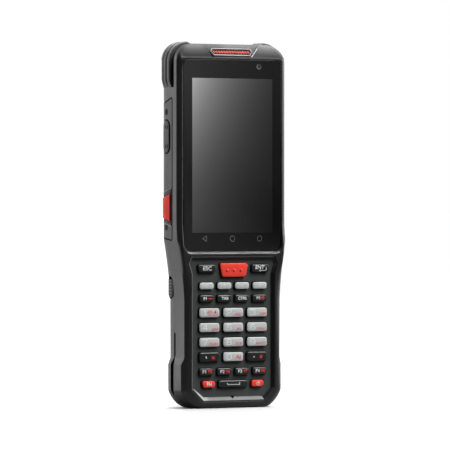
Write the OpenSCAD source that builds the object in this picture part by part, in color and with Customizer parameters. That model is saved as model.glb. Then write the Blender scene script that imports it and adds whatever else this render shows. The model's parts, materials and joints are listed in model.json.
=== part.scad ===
// Rugged handheld data terminal with a touch screen above a thirty-key pad.
// It stands upright on its foot. +Z is up, the screen faces -Y and +X is at its right
// as the user sees it. The origin is the middle of the base.

/* [Housing] */
// Width of the head, beside the screen
head_w = 70; // [69:0.5:76]
// Width of the grip, beside the keys
grip_w = 61.8; // [60:0.2:64]
// Width of the flared foot
foot_w = 64.8; // [63:0.2:67]
// Depth from the front of the grip to the back
body_d = 26; // [25.5:0.5:30]
// Depth of the front shell, from the front of the grip to the seam
front_shell_d = 13; // [12.5:0.1:13.5]
// How far the screen lies behind the front of the grip
screen_set_back = 1.5; // [1:0.1:2]
// Height of the chin below the keypad
chin_h = 5; // [4.5:0.5:8]
// Height of the bar between keypad and screen
bridge_h = 4.1; // [4:0.1:7]
// Height of the rim between the screen and the sloped brow
brow_rim = 1; // [0.8:0.1:2]
// Height of the sloped brow
brow_h = 7.6; // [7.2:0.1:10]
// How far the brow leans back over its height
brow_lean = 3.8; // [3:0.1:4]
// Radius of the top corners, seen from the front
head_corner_r = 9.8; // [9:0.1:11]
// Radius of the long corners at the back
rear_r = 11; // [10:0.5:12]
// Depth of the front bevel beside the screen
head_bevel_d = 2.06; // [1.6:0.02:2.4]
// Depth of the front bevel beside the keys
grip_bevel_d = 1.8; // [1.4:0.1:2.2]
// Depth of the front bevel on the foot
foot_bevel_d = 3; // [2:0.1:3.4]
// Width of the cut-off corners of the foot
foot_corner_w = 9.7; // [7:0.1:10]
// Height of the cut-off corners of the foot
foot_corner_h = 10.5; // [8:0.5:12]
// Height of the flared foot
foot_h = 24.5; // [22:0.5:27]
// Height of the sloped step from foot to grip
flare_h = 3.7; // [2:0.1:6]
// Height at which the grip starts to widen
taper_from = 60; // [56:1:62]
// Thickness of the side and end walls round the inner space
side_wall = 5; // [4.8:0.1:5.2]
// Thickness of the back wall behind the inner space
back_wall = 3.5; // [3:0.1:4]

/* [Screen] */
// Width of the cover glass
glass_w = 63.7; // [60:0.1:64]
// Height of the cover glass
glass_h = 107.8; // [104:0.2:112]
// Corner radius of the cover glass
glass_r = 4.5; // [3:0.5:6]
// Thickness of the cover glass
glass_t = 1.2; // [0.8:0.1:1.4]
// Width of the sloped lip round the cover glass, where the front stands proud of it
glass_lip = 1.1; // [0.6:0.1:1.2]
// Width of the display module
display_w = 58; // [54:0.5:58]
// Height of the display module
display_h = 94.5; // [90:0.5:95]
// Thickness of the display module
display_t = 3; // [2:0.1:3.4]
// Distance from the glass bottom to the display module
display_lift = 6.4; // [6:0.1:8]
// Front camera: distance to the right of the middle
front_camera_x = 17.2; // [10:0.1:20]
// Front camera: distance below the top of the glass
front_camera_drop = 3.8; // [3:0.1:4]
// Front camera: radius of the barrel
front_camera_r = 1.9; // [1.5:0.1:2.2]
// Front camera: length of the barrel
front_camera_d = 2.6; // [2:0.1:3]

/* [Keypad] */
// Width of the keypad plate
pad_w = 50.8; // [50:0.2:53]
// Height of the keypad plate
pad_h = 78.5; // [78:0.5:84]
// How far each side of the plate steps out beside the top row
pad_ear_w = 1.9; // [1.4:0.1:2.4]
// Height over which the plate steps out
pad_ear_h = 8; // [6:0.5:10]
// Cut-off lower corners of the plate
pad_corner = 6; // [4:0.5:7]
// Width of the sloped rim round the plate
pad_rim = 1.4; // [1:0.1:1.8]
// How far the plate lies behind the front of the grip
pad_sunk = 2.2; // [2:0.1:2.6]
// Thickness of the keypad plate
plate_t = 1.2; // [1:0.1:1.4]
// Width of the ledge that carries the plate
pad_ledge = 0.9; // [0.6:0.1:1]
// Height of a key above the plate
key_proud = 1.9; // [1.4:0.1:2]
// Travel of a key
key_travel = 0.6; // [0.4:0.05:0.7]
// Clearance round a key in the plate
key_gap = 0.25; // [0.2:0.05:0.35]
// Bevel round the top of a key
key_bevel = 0.55; // [0.3:0.05:0.7]
// Corner radius of a key
key_r = 1; // [0.6:0.1:1.4]
// Collar that keeps a key behind the plate
key_collar = 0.5; // [0.4:0.05:0.6]
// Thickness of a key's collar
collar_t = 0.5; // [0.4:0.05:0.6]
// Radius of a key's plunger
plunger_r = 1.1; // [0.8:0.1:1.2]
// Distance from the top of the plate to the scan row
scan_row_drop = 5.3; // [5:0.1:6.5]
// Step from the scan row to the arrow row
scan_row_step = 9.7; // [9.4:0.1:10.5]
// Step from the arrow row to the control row
control_row_step = 7.1; // [6.6:0.1:7.5]
// Step from the control row to the first digit row
first_digit_step = 7.9; // [7.4:0.1:8.2]
// Step between digit rows, and on to the function row
digit_row_step = 8.27; // [8:0.01:8.4]
// Step from the function row to the bottom row
bottom_row_step = 6.9; // [6.6:0.1:7.2]
// Distance between keys in a row of four
quad_pitch = 11.45; // [11.2:0.05:11.8]
// Distance between keys in a row of three
digit_pitch = 15.4; // [15:0.1:15.8]
// Width of a key in a row of four
quad_key_w = 9.4; // [8.4:0.1:9.6]
// Height of a key in a row of four
quad_key_h = 4.1; // [3.8:0.1:4.4]
// Width of a digit key
digit_key_w = 13.2; // [12:0.1:13.4]
// Height of a digit key
digit_key_h = 5.35; // [5:0.05:5.6]
// Width of the scan key at its top
scan_key_w = 18.2; // [17:0.1:18.6]
// Height of the scan key
scan_key_h = 8; // [7:0.1:8.2]
// Width of the space key
space_key_w = 19.4; // [18:0.1:20]

/* [Inside] */
// Depth of the main board's face behind the front of the grip
board_depth = 6.3; // [6.3:0.05:6.6]
// Thickness of the main board
board_t = 1.2; // [0.8:0.1:1.6]
// Thickness of the keypad membrane
membrane_t = 0.6; // [0.4:0.05:0.7]
// Thickness of the ledge between plate and membrane
ledge_t = 1.2; // [1.2:0.05:1.3]
// Height of a dome switch, pressed flat
dome_h = 0.25; // [0.2:0.01:0.3]
// Width of the battery pack
battery_w = 37.4; // [34:0.2:38]
// Height of the battery pack
battery_h = 56; // [50:0.5:57]
// Thickness of the battery pack
battery_t = 9; // [8:0.1:9.3]
// Depth of the floor under the battery, behind the seam
bay_floor = 1.5; // [1.2:0.1:2]

/* [Battery cover] */
// Width of the battery cover
cover_w = 48; // [46:0.5:50]
// Height of the battery cover above its hinge line
cover_h = 69.5; // [66:0.5:70]
// Thickness of the battery cover at its middle
cover_t = 1.9; // [1.6:0.1:2.2]
// Height of the hinge line above the base
hinge_z = 14.5; // [14:0.1:15]
// Radius of the hinge barrel
barrel_r = 4.5; // [4:0.1:4.8]
// Angle to which the cover opens
cover_swing = 70; // [60:1:80]
// Radius of the stub axles in the hinge
axle_r = 1.2; // [0.9:0.05:1.3]
// Length of the latch slider
latch_l = 10.4; // [9:0.2:11]
// Width of the latch slider
latch_w = 5.2; // [4.4:0.2:5.6]
// Travel of the latch, upwards
latch_travel = 1.4; // [1:0.1:1.6]
// Height of the middle of the latch above the base
latch_z = 67.1; // [66:0.1:69]

/* [Sides] */
// Distance from the front bevel to the side panel
panel_inset = 4.8; // [4.4:0.1:5.2]
// Width of the side panel, front to back
panel_w = 12.6; // [12.2:0.1:13]
// Height of the side panel
panel_h = 80; // [76:0.5:84]
// Depth of the side panel's seat below the side of the head
panel_t = 2.4; // [2.2:0.05:2.5]
// Depth of the pocket for the side keys below the side of the head
side_pocket = 4.1; // [4:0.05:4.2]
// Length of the volume rocker
rocker_l = 18.1; // [16:0.1:19]
// Width of the volume rocker
rocker_w = 7.6; // [7:0.1:7.8]
// Rise from the rocker's middle to the panel's top edge
rocker_rise = 22; // [20:0.5:24]
// Length of the scan trigger at its front edge
trigger_l = 15.6; // [14:0.1:17]
// Width of the scan trigger, front to back
trigger_w = 10.6; // [10:0.1:10.8]
// Height of the trigger's middle above the panel's bottom edge
trigger_rise = 18.3; // [18:0.1:20]
// How far the side keys stand out of the side
side_key_proud = 0.55; // [0.3:0.05:0.8]
// Travel of the scan trigger
trigger_travel = 0.7; // [0.5:0.05:0.75]
// Radius of the head of a side panel screw
panel_screw_r = 1.65; // [1.4:0.05:1.8]
// Distance from the front bevel to a top bumper
bumper_inset = 5.8; // [5.4:0.1:6.2]
// Thickness of the top bumpers outside the head
bumper_proud = 1.3; // [0.8:0.1:1.8]
// Depth of the bumpers' seat in the head
bumper_seat = 1.2; // [0.8:0.1:1.4]
// Rise from the side panel's top edge to a bumper's lower end
bumper_rise = 5.6; // [4:0.2:8]
// Length of the slope at a bumper's lower end
bumper_slope = 4; // [3:0.5:6]
// Reach of a bumper along the top, from the side of the head
bumper_reach = 13; // [11:0.5:15]
// Width of a bumper, front to back
bumper_w = 10.8; // [10:0.1:11]
// Width of the strip that carries the side switches
strip_w = 3.2; // [2.6:0.1:4]
// Length of the port connector's shell
port_l = 8.9; // [8.9:0.1:9]
// Width of the port connector's shell
port_w = 3.2; // [3.2:0.1:3.3]
// Depth of the port connector
port_d = 7.6; // [7:0.1:8]

/* [Ends] */
// Width of the status light
light_w = 25.8; // [20:0.2:27]
// Height of the status light
light_h = 3.3; // [2.8:0.1:3.6]
// Width of the scan window
window_w = 24; // [20:0.5:26]
// Depth of the scan window, front to back
window_d = 5.6; // [5:0.1:5.8]
// Radius of the rear camera
rear_camera_r = 4.6; // [4:0.1:5]
// Distance of the rear camera from the middle
rear_camera_x = 11; // [9:0.5:14]
// Distance from the top of the head down to the rear camera and its flash
rear_camera_drop = 32; // [28:0.5:40]
// Radius of the flash
flash_r = 2; // [1.5:0.1:2.4]
// Width of the speaker
speaker_w = 18; // [14:0.5:20]
// Height of the speaker
speaker_h = 12; // [10:0.5:14]
// Thickness of the speaker
speaker_t = 3.2; // [2.5:0.1:4]
// Height of the speaker's middle above the bottom of the glass
speaker_rise = 20; // [16:0.5:30]
// Depth of the scan engine, front to back
engine_d = 6.8; // [6:0.1:7]
// Height of the scan engine
engine_h = 13.4; // [12:0.1:14]
// Radius of a housing screw
screw_r = 0.95; // [0.8:0.05:1.1]
// Radius of a housing screw's head
screw_head_r = 1.9; // [1.6:0.1:2]

/* [Fits] */
// Clearance round pieces that are fixed in place
fit_gap = 0.1; // [0.05:0.05:0.15]
// Clearance round an axle in its bore
run_gap = 0.05; // [0.03:0.01:0.08]
// Clearance round a cover, flap or side key
move_gap = 0.3; // [0.25:0.05:0.4]

/* [Hidden] */
front_y = -body_d / 2;
rear_y = body_d / 2;
seam_y = front_y + front_shell_d;
screen_y = front_y + screen_set_back;
head_half = head_w / 2;
grip_half = grip_w / 2;
foot_half = foot_w / 2;

pad_z = chin_h;
pad_top = pad_z + pad_h;
glass_z = pad_top + bridge_h;
glass_top = glass_z + glass_h;
brow_z = glass_top + brow_rim;
body_h = brow_z + brow_h;
corner_z = body_h - head_corner_r;
taper_to = glass_z + 6.4;
far = 200;
skin = 0.01;
column_r = 3.2;
foot_screw_x = foot_half - 4.1;
foot_screw_z = 15;

// The form of the body, as a loft of sections up its height
bevel_sweep = 55;
bevel_steps = 3;
rear_steps = 8;
foot_soft = 1.4;
foot_front_r = 1.6;
foot_rear_r = 4;
top_rear_r = 4.5;
foot_steps = [0, 0.03, 0.09, 0.16, 0.26, 0.4, 0.6, 0.8, 0.93, 1];
rim_half = pad_w / 2 + pad_rim;
glass_half = glass_w / 2 + 0.15;

function ease(t) = (1 - cos(180 * t)) / 2;
function part_way(z, lo, hi) = min(1, max(0, (z - lo) / (hi - lo)));
function mix(a, b, t) = a + (b - a) * t;
function foot_round(t) = pow(1 - pow(1 - t, foot_soft), 1 / foot_soft);
function drop_round(h, r) = h >= r ? 0 : r - sqrt(r * r - pow(r - h, 2));

function half_width(z, out) =
    z < foot_corner_h ? out + foot_half - foot_corner_w * (1 - foot_round(z / foot_corner_h))
    : z < foot_h + flare_h ? out + mix(foot_half, grip_half, part_way(z, foot_h, foot_h + flare_h))
    : z < corner_z ? out + mix(grip_half, head_half, pow(part_way(z, taper_from, taper_to), 1.5))
    : head_half - head_corner_r
        + sqrt(max(0, pow(head_corner_r + out, 2) - pow(z - corner_z, 2)));
function flat_half(z, out) =
    z < foot_corner_h ? half_width(z, out) - (foot_half - rim_half)
    : z < corner_z ? out + mix(rim_half, glass_half, ease(part_way(z, pad_top - 17, glass_z - 1)))
    : half_width(z, out) - (head_half - glass_half);
function bevel_depth(z) =
    z < foot_h + flare_h ? mix(foot_bevel_d, grip_bevel_d, part_way(z, foot_h, foot_h + flare_h))
    : mix(grip_bevel_d, head_bevel_d, part_way(z, taper_from, taper_to));
function front_at(z, out) =
    drop_round(z, foot_front_r) - out
    + mix(front_y, screen_y, ease(part_way(z, glass_z - 1.3, glass_z + 18.4)))
    + brow_lean * pow(part_way(z, brow_z, body_h + out), 1.3);
function rear_at(z, out) =
    rear_y + out - drop_round(z, foot_rear_r) - drop_round(body_h + out - z, top_rear_r);

function heights(out) = concat(
    [for (t = foot_steps) t * foot_corner_h],
    [foot_h, foot_h + flare_h],
    [for (i = [0:8]) mix(taper_from, taper_to, i / 8)],
    [for (i = [1:3]) taper_to + 4 * i],
    [corner_z, brow_z],
    [for (a = [30:15:90]) corner_z + (head_corner_r + out) * sin(a)]);

function half_section(z, out) =
    let (w = half_width(z, out), flat = flat_half(z, out), y = front_at(z, out))
    let (back = rear_at(z, out), r = rear_r + out)
    concat(
        [for (k = [0:bevel_steps])
            let (a = bevel_sweep * k / bevel_steps)
            [flat + (w - flat) * sin(a) / sin(bevel_sweep),
             y + bevel_depth(z) * (1 - cos(a)) / (1 - cos(bevel_sweep)), z]],
        [for (k = [0:rear_steps])
            let (a = 90 * k / rear_steps)
            [w - r + r * cos(a), back - r + r * sin(a), z]]);
function section(z, out) =
    let (right = half_section(z, out), n = len(right))
    concat(right, [for (k = [n - 1:-1:0]) [-right[k][0], right[k][1], z]]);

// The body grown outwards by "out" on every side
module body_form(out = 0) {
    zs = heights(out);
    rings = [for (z = zs) section(z, out)];
    n = len(rings[0]);
    top = (len(zs) - 1) * n;
    polyhedron(
        points = [for (ring = rings) each ring],
        faces = concat(
            [[for (j = [0:n - 1]) j]],
            [[for (j = [n - 1:-1:0]) top + j]],
            [for (i = [0:len(zs) - 2], j = [0:n - 1], half = [0, 1])
                let (a = i * n + j, b = i * n + (j + 1) % n)
                half == 0 ? [a, a + n, b + n] : [a, b + n, b]]));
}

// A flat shape in X and Z, extruded from y0 to y1
module slab(y0, y1) {
    translate([0, y1, 0]) rotate([90, 0, 0]) linear_extrude(y1 - y0) children();
}
// A flat shape in Y and Z, extruded from x0 to x1
module side_slab(x0, x1) {
    translate([x0, 0, 0]) rotate([90, 0, 90]) linear_extrude(x1 - x0) children();
}
module rod_y(x, z, r, y0, y1, fn = 48) {
    translate([x, y1, z]) rotate([90, 0, 0]) cylinder(r = r, h = y1 - y0, $fn = fn);
}
module rod_x(y, z, r, x0, x1, fn = 48) {
    translate([x0, y, z]) rotate([0, 90, 0]) cylinder(r = r, h = x1 - x0, $fn = fn);
}
module both_sides() {
    children();
    mirror([1, 0, 0]) children();
}
module round_rect(w, h, r) {
    hull() for (x = [-1, 1], y = [-1, 1])
        translate([x * (w / 2 - r), y * (h / 2 - r)]) circle(r = r, $fn = 32);
}
// Straight sides and round ends, standing along the second axis
module stadium(w, l) {
    square([w, l - w], center = true);
    for (s = [-1, 1]) translate([0, s * (l - w) / 2]) circle(d = w, $fn = 48);
}
function mirrored(points) =
    concat(points, [for (k = [len(points) - 1:-1:0]) [-points[k][0], points[k][1]]]);
module body_outline() {
    polygon(mirrored([for (z = heights(0)) [half_width(z, 0), z]]));
}
// The inner space, which leaves out the columns of the foot screws
module inner_outline(inset = 0) {
    offset(delta = -inset) difference() {
        offset(delta = -side_wall) body_outline();
        for (side = [-1, 1]) translate([side * foot_screw_x, foot_screw_z]) circle(r = column_r, $fn = 32);
    }
}

// Screen
glass_back_y = screen_y + glass_t;
display_z = glass_z + display_lift;
board_y = front_y + board_depth;
module glass_outline(gap = 0) {
    translate([0, glass_z + glass_h / 2])
        round_rect(glass_w + 2 * gap, glass_h + 2 * gap, glass_r + gap);
}
// The lip slopes from the front down to the face of the glass
lip_slope = (glass_lip - 0.1) / screen_set_back;
module glass_lip_cut() {
    open_y = front_y - 1;
    deep_y = screen_y + 0.2;
    lip_edge = fit_gap + 0.1;
    hull() {
        slab(deep_y - skin, deep_y) glass_outline(lip_edge - 0.2 * lip_slope);
        slab(open_y - skin, open_y) glass_outline(lip_edge + (screen_set_back + 1) * lip_slope);
    }
}
module display_outline(gap = 0) {
    translate([-display_w / 2 - gap, display_z - gap]) square([display_w + 2 * gap, display_h + 2 * gap]);
}

// Keypad
pad_y = front_y + pad_sunk;
plate_back_y = pad_y + plate_t;
membrane_y = plate_back_y + ledge_t;
plunger_end_y = board_y - dome_h - key_travel - 0.05;
cap_y = pad_y - key_proud;
pad_half = pad_w / 2;
PAD_FOOT = [
    [pad_half - pad_corner, pad_z],
    [pad_half, pad_z + pad_corner],
    [pad_half, pad_top - pad_ear_h]];
PAD_EARS = [
    [pad_half + pad_ear_w, pad_top - 2.6],
    [pad_half + pad_ear_w - 1.2, pad_top]];
module pad_lower(grow) {
    offset(delta = grow) polygon(mirrored(PAD_FOOT));
}
module pad_upper(grow) {
    offset(delta = grow) polygon(mirrored(concat([[pad_half, pad_top - pad_ear_h - skin]], PAD_EARS)));
}
module pad_outline(grow = 0) {
    offset(delta = grow) polygon(mirrored(concat(PAD_FOOT, PAD_EARS)));
}
// The recess round the plate: its rim slopes from the plate out to the front of the grip
module pad_recess() {
    open_y = front_y - 1;
    open_rim = pad_rim * (pad_sunk + 1) / pad_sunk;
    hull() {
        slab(pad_y - skin, pad_y) pad_lower(fit_gap);
        slab(open_y - skin, open_y) pad_lower(fit_gap + open_rim);
    }
    hull() {
        slab(pad_y - skin, pad_y) pad_upper(fit_gap);
        slab(open_y - skin, open_y) pad_upper(fit_gap + open_rim);
    }
}

scan_row_z = pad_top - scan_row_drop;
arrow_row_z = scan_row_z - scan_row_step;
control_row_z = arrow_row_z - control_row_step;
digit_row_z = control_row_z - first_digit_step;
zero_row_z = digit_row_z - 3 * digit_row_step;
function_row_z = zero_row_z - digit_row_step;
bottom_row_z = function_row_z - bottom_row_step;

// Each key: name, x, z, width, height, slant of its left side, slant of its right side, colour
function quad_row(names, z, tone) =
    [for (i = [0:3]) [names[i], (i - 1.5) * quad_pitch, z, quad_key_w, quad_key_h, 0, 0, tone]];
function digit_row(names, z, tones) =
    [for (i = [0:2]) [names[i], (i - 1) * digit_pitch, z, digit_key_w, digit_key_h, 0, 0, tones[i]]];
black = "#1c1d1f";
grey = "#b3b7b6";
red = "#f0493f";
KEYS = concat(
    [["key_esc", -17.4, scan_row_z, 11.2, 4.5, 0.8, 0, black],
     ["key_scan", 0, scan_row_z - 0.9, scan_key_w, scan_key_h, 1.7, 1.7, red],
     ["key_enter", 17.4, scan_row_z, 11.2, 4.5, 0, 0.8, black]],
    quad_row(["key_left", "key_up", "key_down", "key_right"], arrow_row_z, grey),
    quad_row(["key_p1", "key_tab", "key_ctrl", "key_p2"], control_row_z, black),
    digit_row(["key_1", "key_2", "key_3"], digit_row_z, [grey, grey, grey]),
    digit_row(["key_4", "key_5", "key_6"], digit_row_z - digit_row_step, [grey, grey, grey]),
    digit_row(["key_7", "key_8", "key_9"], digit_row_z - 2 * digit_row_step, [grey, grey, grey]),
    digit_row(["key_comma", "key_0", "key_dot"], zero_row_z, [black, grey, black]),
    quad_row(["key_f1", "key_f2", "key_f3", "key_f4"], function_row_z, black),
    [["key_fn", -16.3, bottom_row_z, 9.2, 4, 1.3, 0, red],
     ["key_space", 0, bottom_row_z, space_key_w, 4, 0, 0, black],
     ["key_power", 16.3, bottom_row_z, 9.2, 4, 0, 1.3, red]]);

module key_outline(k, grow = 0) {
    w = k[3] / 2;
    h = k[4] / 2;
    offset(r = key_r + grow, $fn = 16) offset(delta = -key_r)
        polygon([[-w + k[5], -h], [w - k[6], -h], [w, h], [-w, h]]);
}
module key(k) {
    color(k[7]) translate([k[1], 0, k[2]]) {
        hull() {
            slab(cap_y + key_bevel, plate_back_y + collar_t) key_outline(k);
            slab(cap_y, cap_y + 0.1) key_outline(k, -key_bevel);
        }
        slab(plate_back_y, plate_back_y + collar_t) key_outline(k, key_collar);
        rod_y(0, 0, plunger_r, plate_back_y, plunger_end_y, 32);
    }
}
module keypad_plate() {
    color("#3c4040") difference() {
        slab(pad_y, plate_back_y) pad_outline();
        for (k = KEYS) translate([k[1], 0, k[2]])
            slab(pad_y - 1, plate_back_y + 1) key_outline(k, key_gap);
        rod_y(0, pad_z + 1.4, 0.5, pad_y - 1, plate_back_y + 1, 24);
    }
}
module keypad_membrane() {
    color("#6d7275") difference() {
        slab(membrane_y, membrane_y + membrane_t) pad_outline(0.4);
        for (k = KEYS)
            rod_y(k[1], k[2], plunger_r + 0.2, membrane_y - 1, membrane_y + membrane_t + 1, 32);
    }
}
module dome_switches() {
    color("silver") for (k = KEYS)
        translate([k[1], board_y, k[2]]) rotate([90, 0, 0])
            cylinder(r1 = 1.9, r2 = 1.3, h = dome_h, $fn = 32);
}

// Screws that hold the shells together, at +X and -X. Each: x, z, where its head begins
SCREWS = [
    [20, body_h - 9.5, rear_y - 3],
    [19.5, glass_z + 0.4, rear_y - 3],
    [foot_screw_x, foot_screw_z, rear_y - 7]];
screw_tip_y = seam_y - 5;
screw_head_h = 1.6;
module each_screw() {
    for (s = SCREWS, side = [-1, 1]) translate([side * s[0], 0, s[1]]) {
        $head_y = s[2];
        children();
    }
}
module columns(y0, y1, r) {
    each_screw() rod_y(0, 0, r, y0, y1, 32);
}
module screw_holes() {
    columns(screw_tip_y - 0.5, far, screw_r + run_gap);
    each_screw() rod_y(0, 0, screw_head_r + fit_gap, $head_y, far, 32);
}
module housing_screws() {
    color("#8a8d90") each_screw() difference() {
        union() {
            rod_y(0, 0, screw_r, screw_tip_y, $head_y + screw_head_h / 2, 32);
            rod_y(0, 0, screw_head_r, $head_y, $head_y + screw_head_h, 32);
        }
        rod_y(0, 0, screw_head_r / 2, $head_y + 0.6, far, 6);
    }
}

// Side panels, side keys and the flap over the port
bevel_edge_y = screen_y + head_bevel_d;
panel_y = bevel_edge_y + panel_inset;
panel_z = glass_z + 6.4;
panel_x = head_half - panel_t;
pocket_x = head_half - side_pocket;
panel_rear_y = panel_y + panel_w;
rear_arc_y = rear_y - rear_r;
side_key_y = panel_y + 6.5;
rocker_z = panel_z + panel_h - rocker_rise;
trigger_z = panel_z + trigger_rise;
trigger_y = panel_y + 1.6;
flap_y = panel_y + 5.4;
flap_axle_x = head_half - 1.5;
flap_axle_r = 0.5;
flap_proud = 0.3;
flap_barrel_r = head_half + flap_proud - flap_axle_x;
port_y = seam_y + 2.6;
port_x = pocket_x + 0.6;
PANEL_SCREWS = [panel_z + 7.3, panel_z + panel_h - 8.2];

// The side of the head in plan, grown by "out", between two depths
module head_side(out, inner_x, y0, y1) {
    intersection() {
        translate([inner_x, y0]) square([head_half + out + 1 - inner_x, y1 - y0]);
        union() {
            translate([0, -far]) square([head_half + out, far + rear_arc_y]);
            translate([head_half - rear_r, rear_arc_y]) circle(r = rear_r + out, $fn = 96);
        }
    }
}
// A piece of that side which follows the curve of the back corner
module side_piece(out, inner_x) {
    intersection() {
        translate([0, 0, panel_z - 5]) linear_extrude(panel_h + 10)
            head_side(out, inner_x, bevel_edge_y, rear_y);
        side_slab(inner_x, head_half + out + 1) children();
    }
}
module panel_outline(gap = 0) {
    offset(delta = gap) offset(r = 1, $fn = 24) offset(delta = -1) polygon([
        [panel_y, panel_z],
        [panel_rear_y, panel_z + 1.6],
        [panel_rear_y, panel_z + panel_h - 4.6],
        [panel_y, panel_z + panel_h]]);
}
module trigger_outline(grow = 0) {
    offset(delta = grow) offset(r = 1.2, $fn = 24) offset(delta = -1.2) polygon([
        [trigger_y, trigger_z - trigger_l / 2],
        [trigger_y + trigger_w, trigger_z - trigger_l / 2 + 1.9],
        [trigger_y + trigger_w, trigger_z + trigger_l / 2 - 2.4],
        [trigger_y, trigger_z + trigger_l / 2]]);
}
module trigger_scoop() {
    hull() {
        side_slab(panel_x + 0.6, panel_x + 0.61) trigger_outline(move_gap);
        side_slab(head_half + 1, head_half + 1.01) offset(delta = 0.6) polygon([
            [trigger_y, trigger_z - trigger_l / 2 - 3.4],
            [trigger_y + trigger_w, trigger_z - trigger_l / 2 - 0.6],
            [trigger_y + trigger_w, trigger_z + trigger_l / 2 + 0.6],
            [trigger_y, trigger_z + trigger_l / 2 + 4.4]]);
    }
}
module rocker_outline(grow = 0) {
    translate([side_key_y, rocker_z]) stadium(rocker_w + 2 * grow, rocker_l + 2 * grow);
}
module flap_outline(grow = 0) {
    translate([flap_y, rocker_z]) square([rocker_w + 2 * grow, rocker_l + 2 * grow], center = true);
}
module side_panel_blank() {
    difference() {
        side_piece(0, panel_x) panel_outline();
        side_slab(panel_x - 1, far) trigger_outline(move_gap);
        trigger_scoop();
        for (z = PANEL_SCREWS) {
            rod_x(side_key_y, z, 0.9, panel_x - 1, far, 32);
            rod_x(side_key_y, z, panel_screw_r + fit_gap, head_half - 1.2, far, 32);
        }
    }
}
flap_axle_z = rocker_z - rocker_l / 2 + flap_barrel_r;
flap_bore_half = rocker_w / 2 + 1;
module side_key_panels() {
    color("#2c2e30") {
        mirror([1, 0, 0]) difference() {
            side_panel_blank();
            side_slab(panel_x - 1, far) rocker_outline(move_gap);
        }
        difference() {
            side_panel_blank();
            side_slab(panel_x - 1, far) flap_outline(move_gap);
            rod_y(flap_axle_x, flap_axle_z, flap_axle_r + run_gap, flap_y - flap_bore_half,
                flap_y + flap_bore_half, 32);
        }
    }
}
module side_panel_screws() {
    color("#1b1c1e") both_sides() for (z = PANEL_SCREWS) difference() {
        union() {
            rod_x(side_key_y, z, panel_screw_r, head_half - 1.2, head_half - 0.2, 32);
            rod_x(side_key_y, z, 0.85, panel_x - 1.4, head_half - 1, 32);
        }
        for (s = [-1, 1]) rod_x(side_key_y, z + 0.85 * s, 0.4, head_half - 0.8, far, 24);
    }
}
module volume_rocker() {
    color("#2c2e30") mirror([1, 0, 0]) {
        side_piece(side_key_proud, panel_x - 0.6) rocker_outline();
        side_slab(panel_x - 0.8, panel_x - 0.2)
            translate([side_key_y, rocker_z]) square([rocker_w + 1.6, 5], center = true);
        for (s = [-1, 1]) rod_x(side_key_y, rocker_z + 6.2 * s, 1.2, panel_x - 0.95, panel_x, 32);
    }
}
module scan_trigger() {
    side_piece(side_key_proud, panel_x - 0.1) trigger_outline();
    side_slab(panel_x - 0.65, panel_x - 0.05)
        translate([trigger_y - 0.7, trigger_z - trigger_l / 2 - 1])
            square([trigger_w + 0.2, trigger_l + 2]);
}
module left_scan_trigger() {
    color(red) mirror([1, 0, 0]) scan_trigger();
}
module right_scan_trigger() {
    color(red) scan_trigger();
}
module port_cover() {
    color("#222426") {
        difference() {
            side_piece(flap_proud, head_half - 1.7) flap_outline();
            side_slab(0, far) translate([flap_y - rocker_w, flap_axle_z - far])
                square([2 * rocker_w, far]);
        }
        intersection() {
            side_piece(flap_proud, pocket_x) flap_outline();
            rod_y(flap_axle_x, flap_axle_z, flap_barrel_r, flap_y - rocker_w / 2, flap_y + rocker_w / 2);
        }
        rod_y(flap_axle_x, flap_axle_z, flap_axle_r, flap_y - flap_bore_half + 0.1,
            flap_y + flap_bore_half - 0.1, 32);
    }
}
// The space below the panels that the side keys, the flap and their switches share
module side_pocket() {
    side_slab(pocket_x, panel_x + 1)
        translate([trigger_y - 1, trigger_z - trigger_l / 2 - 1.3])
            square([trigger_w + 1 + move_gap, trigger_l + 2.6]);
    side_slab(pocket_x, panel_x + 1)
        translate([side_key_y - rocker_w / 2 - 1.3, rocker_z - rocker_l / 2 - 0.6])
            square([rocker_w + 2.6, rocker_l + 1.2]);
}
module side_cuts() {
    both_sides() {
        side_pocket();
        side_slab(panel_x, far) panel_outline(fit_gap);
        for (z = PANEL_SCREWS) rod_x(side_key_y, z, 0.85, panel_x - 1.5, panel_x + 1, 32);
    }
}
strip_t = 0.1;
module side_switches() {
    color("#b08a3c") both_sides() {
        side_slab(pocket_x, pocket_x + strip_t)
            translate([side_key_y, trigger_z]) square([strip_w, trigger_l / 2], center = true);
        rod_x(side_key_y, trigger_z, 1.4, pocket_x + strip_t, pocket_x + strip_t + 0.2, 32);
    }
    color("#b08a3c") mirror([1, 0, 0]) {
        side_slab(pocket_x, pocket_x + strip_t)
            translate([side_key_y, rocker_z]) square([strip_w, rocker_l - 1.3], center = true);
        for (s = [-1, 1])
            rod_x(side_key_y, rocker_z + 6.2 * s, 1.4, pocket_x + strip_t, pocket_x + strip_t + 0.2, 32);
    }
}
module port_connector() {
    color("silver") difference() {
        side_slab(port_x - port_d, port_x) translate([port_y, rocker_z]) stadium(port_w, port_l);
        side_slab(port_x - port_d + 1.5, far)
            translate([port_y, rocker_z]) difference() {
                stadium(port_w - 0.6, port_l - 0.6);
                square([0.7, port_l - 2.2], center = true);
            }
    }
}
module port_hole() {
    side_slab(port_x - port_d - 1, port_x)
        translate([port_y, rocker_z]) stadium(port_w + 2 * fit_gap, port_l + 2 * fit_gap);
}

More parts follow.
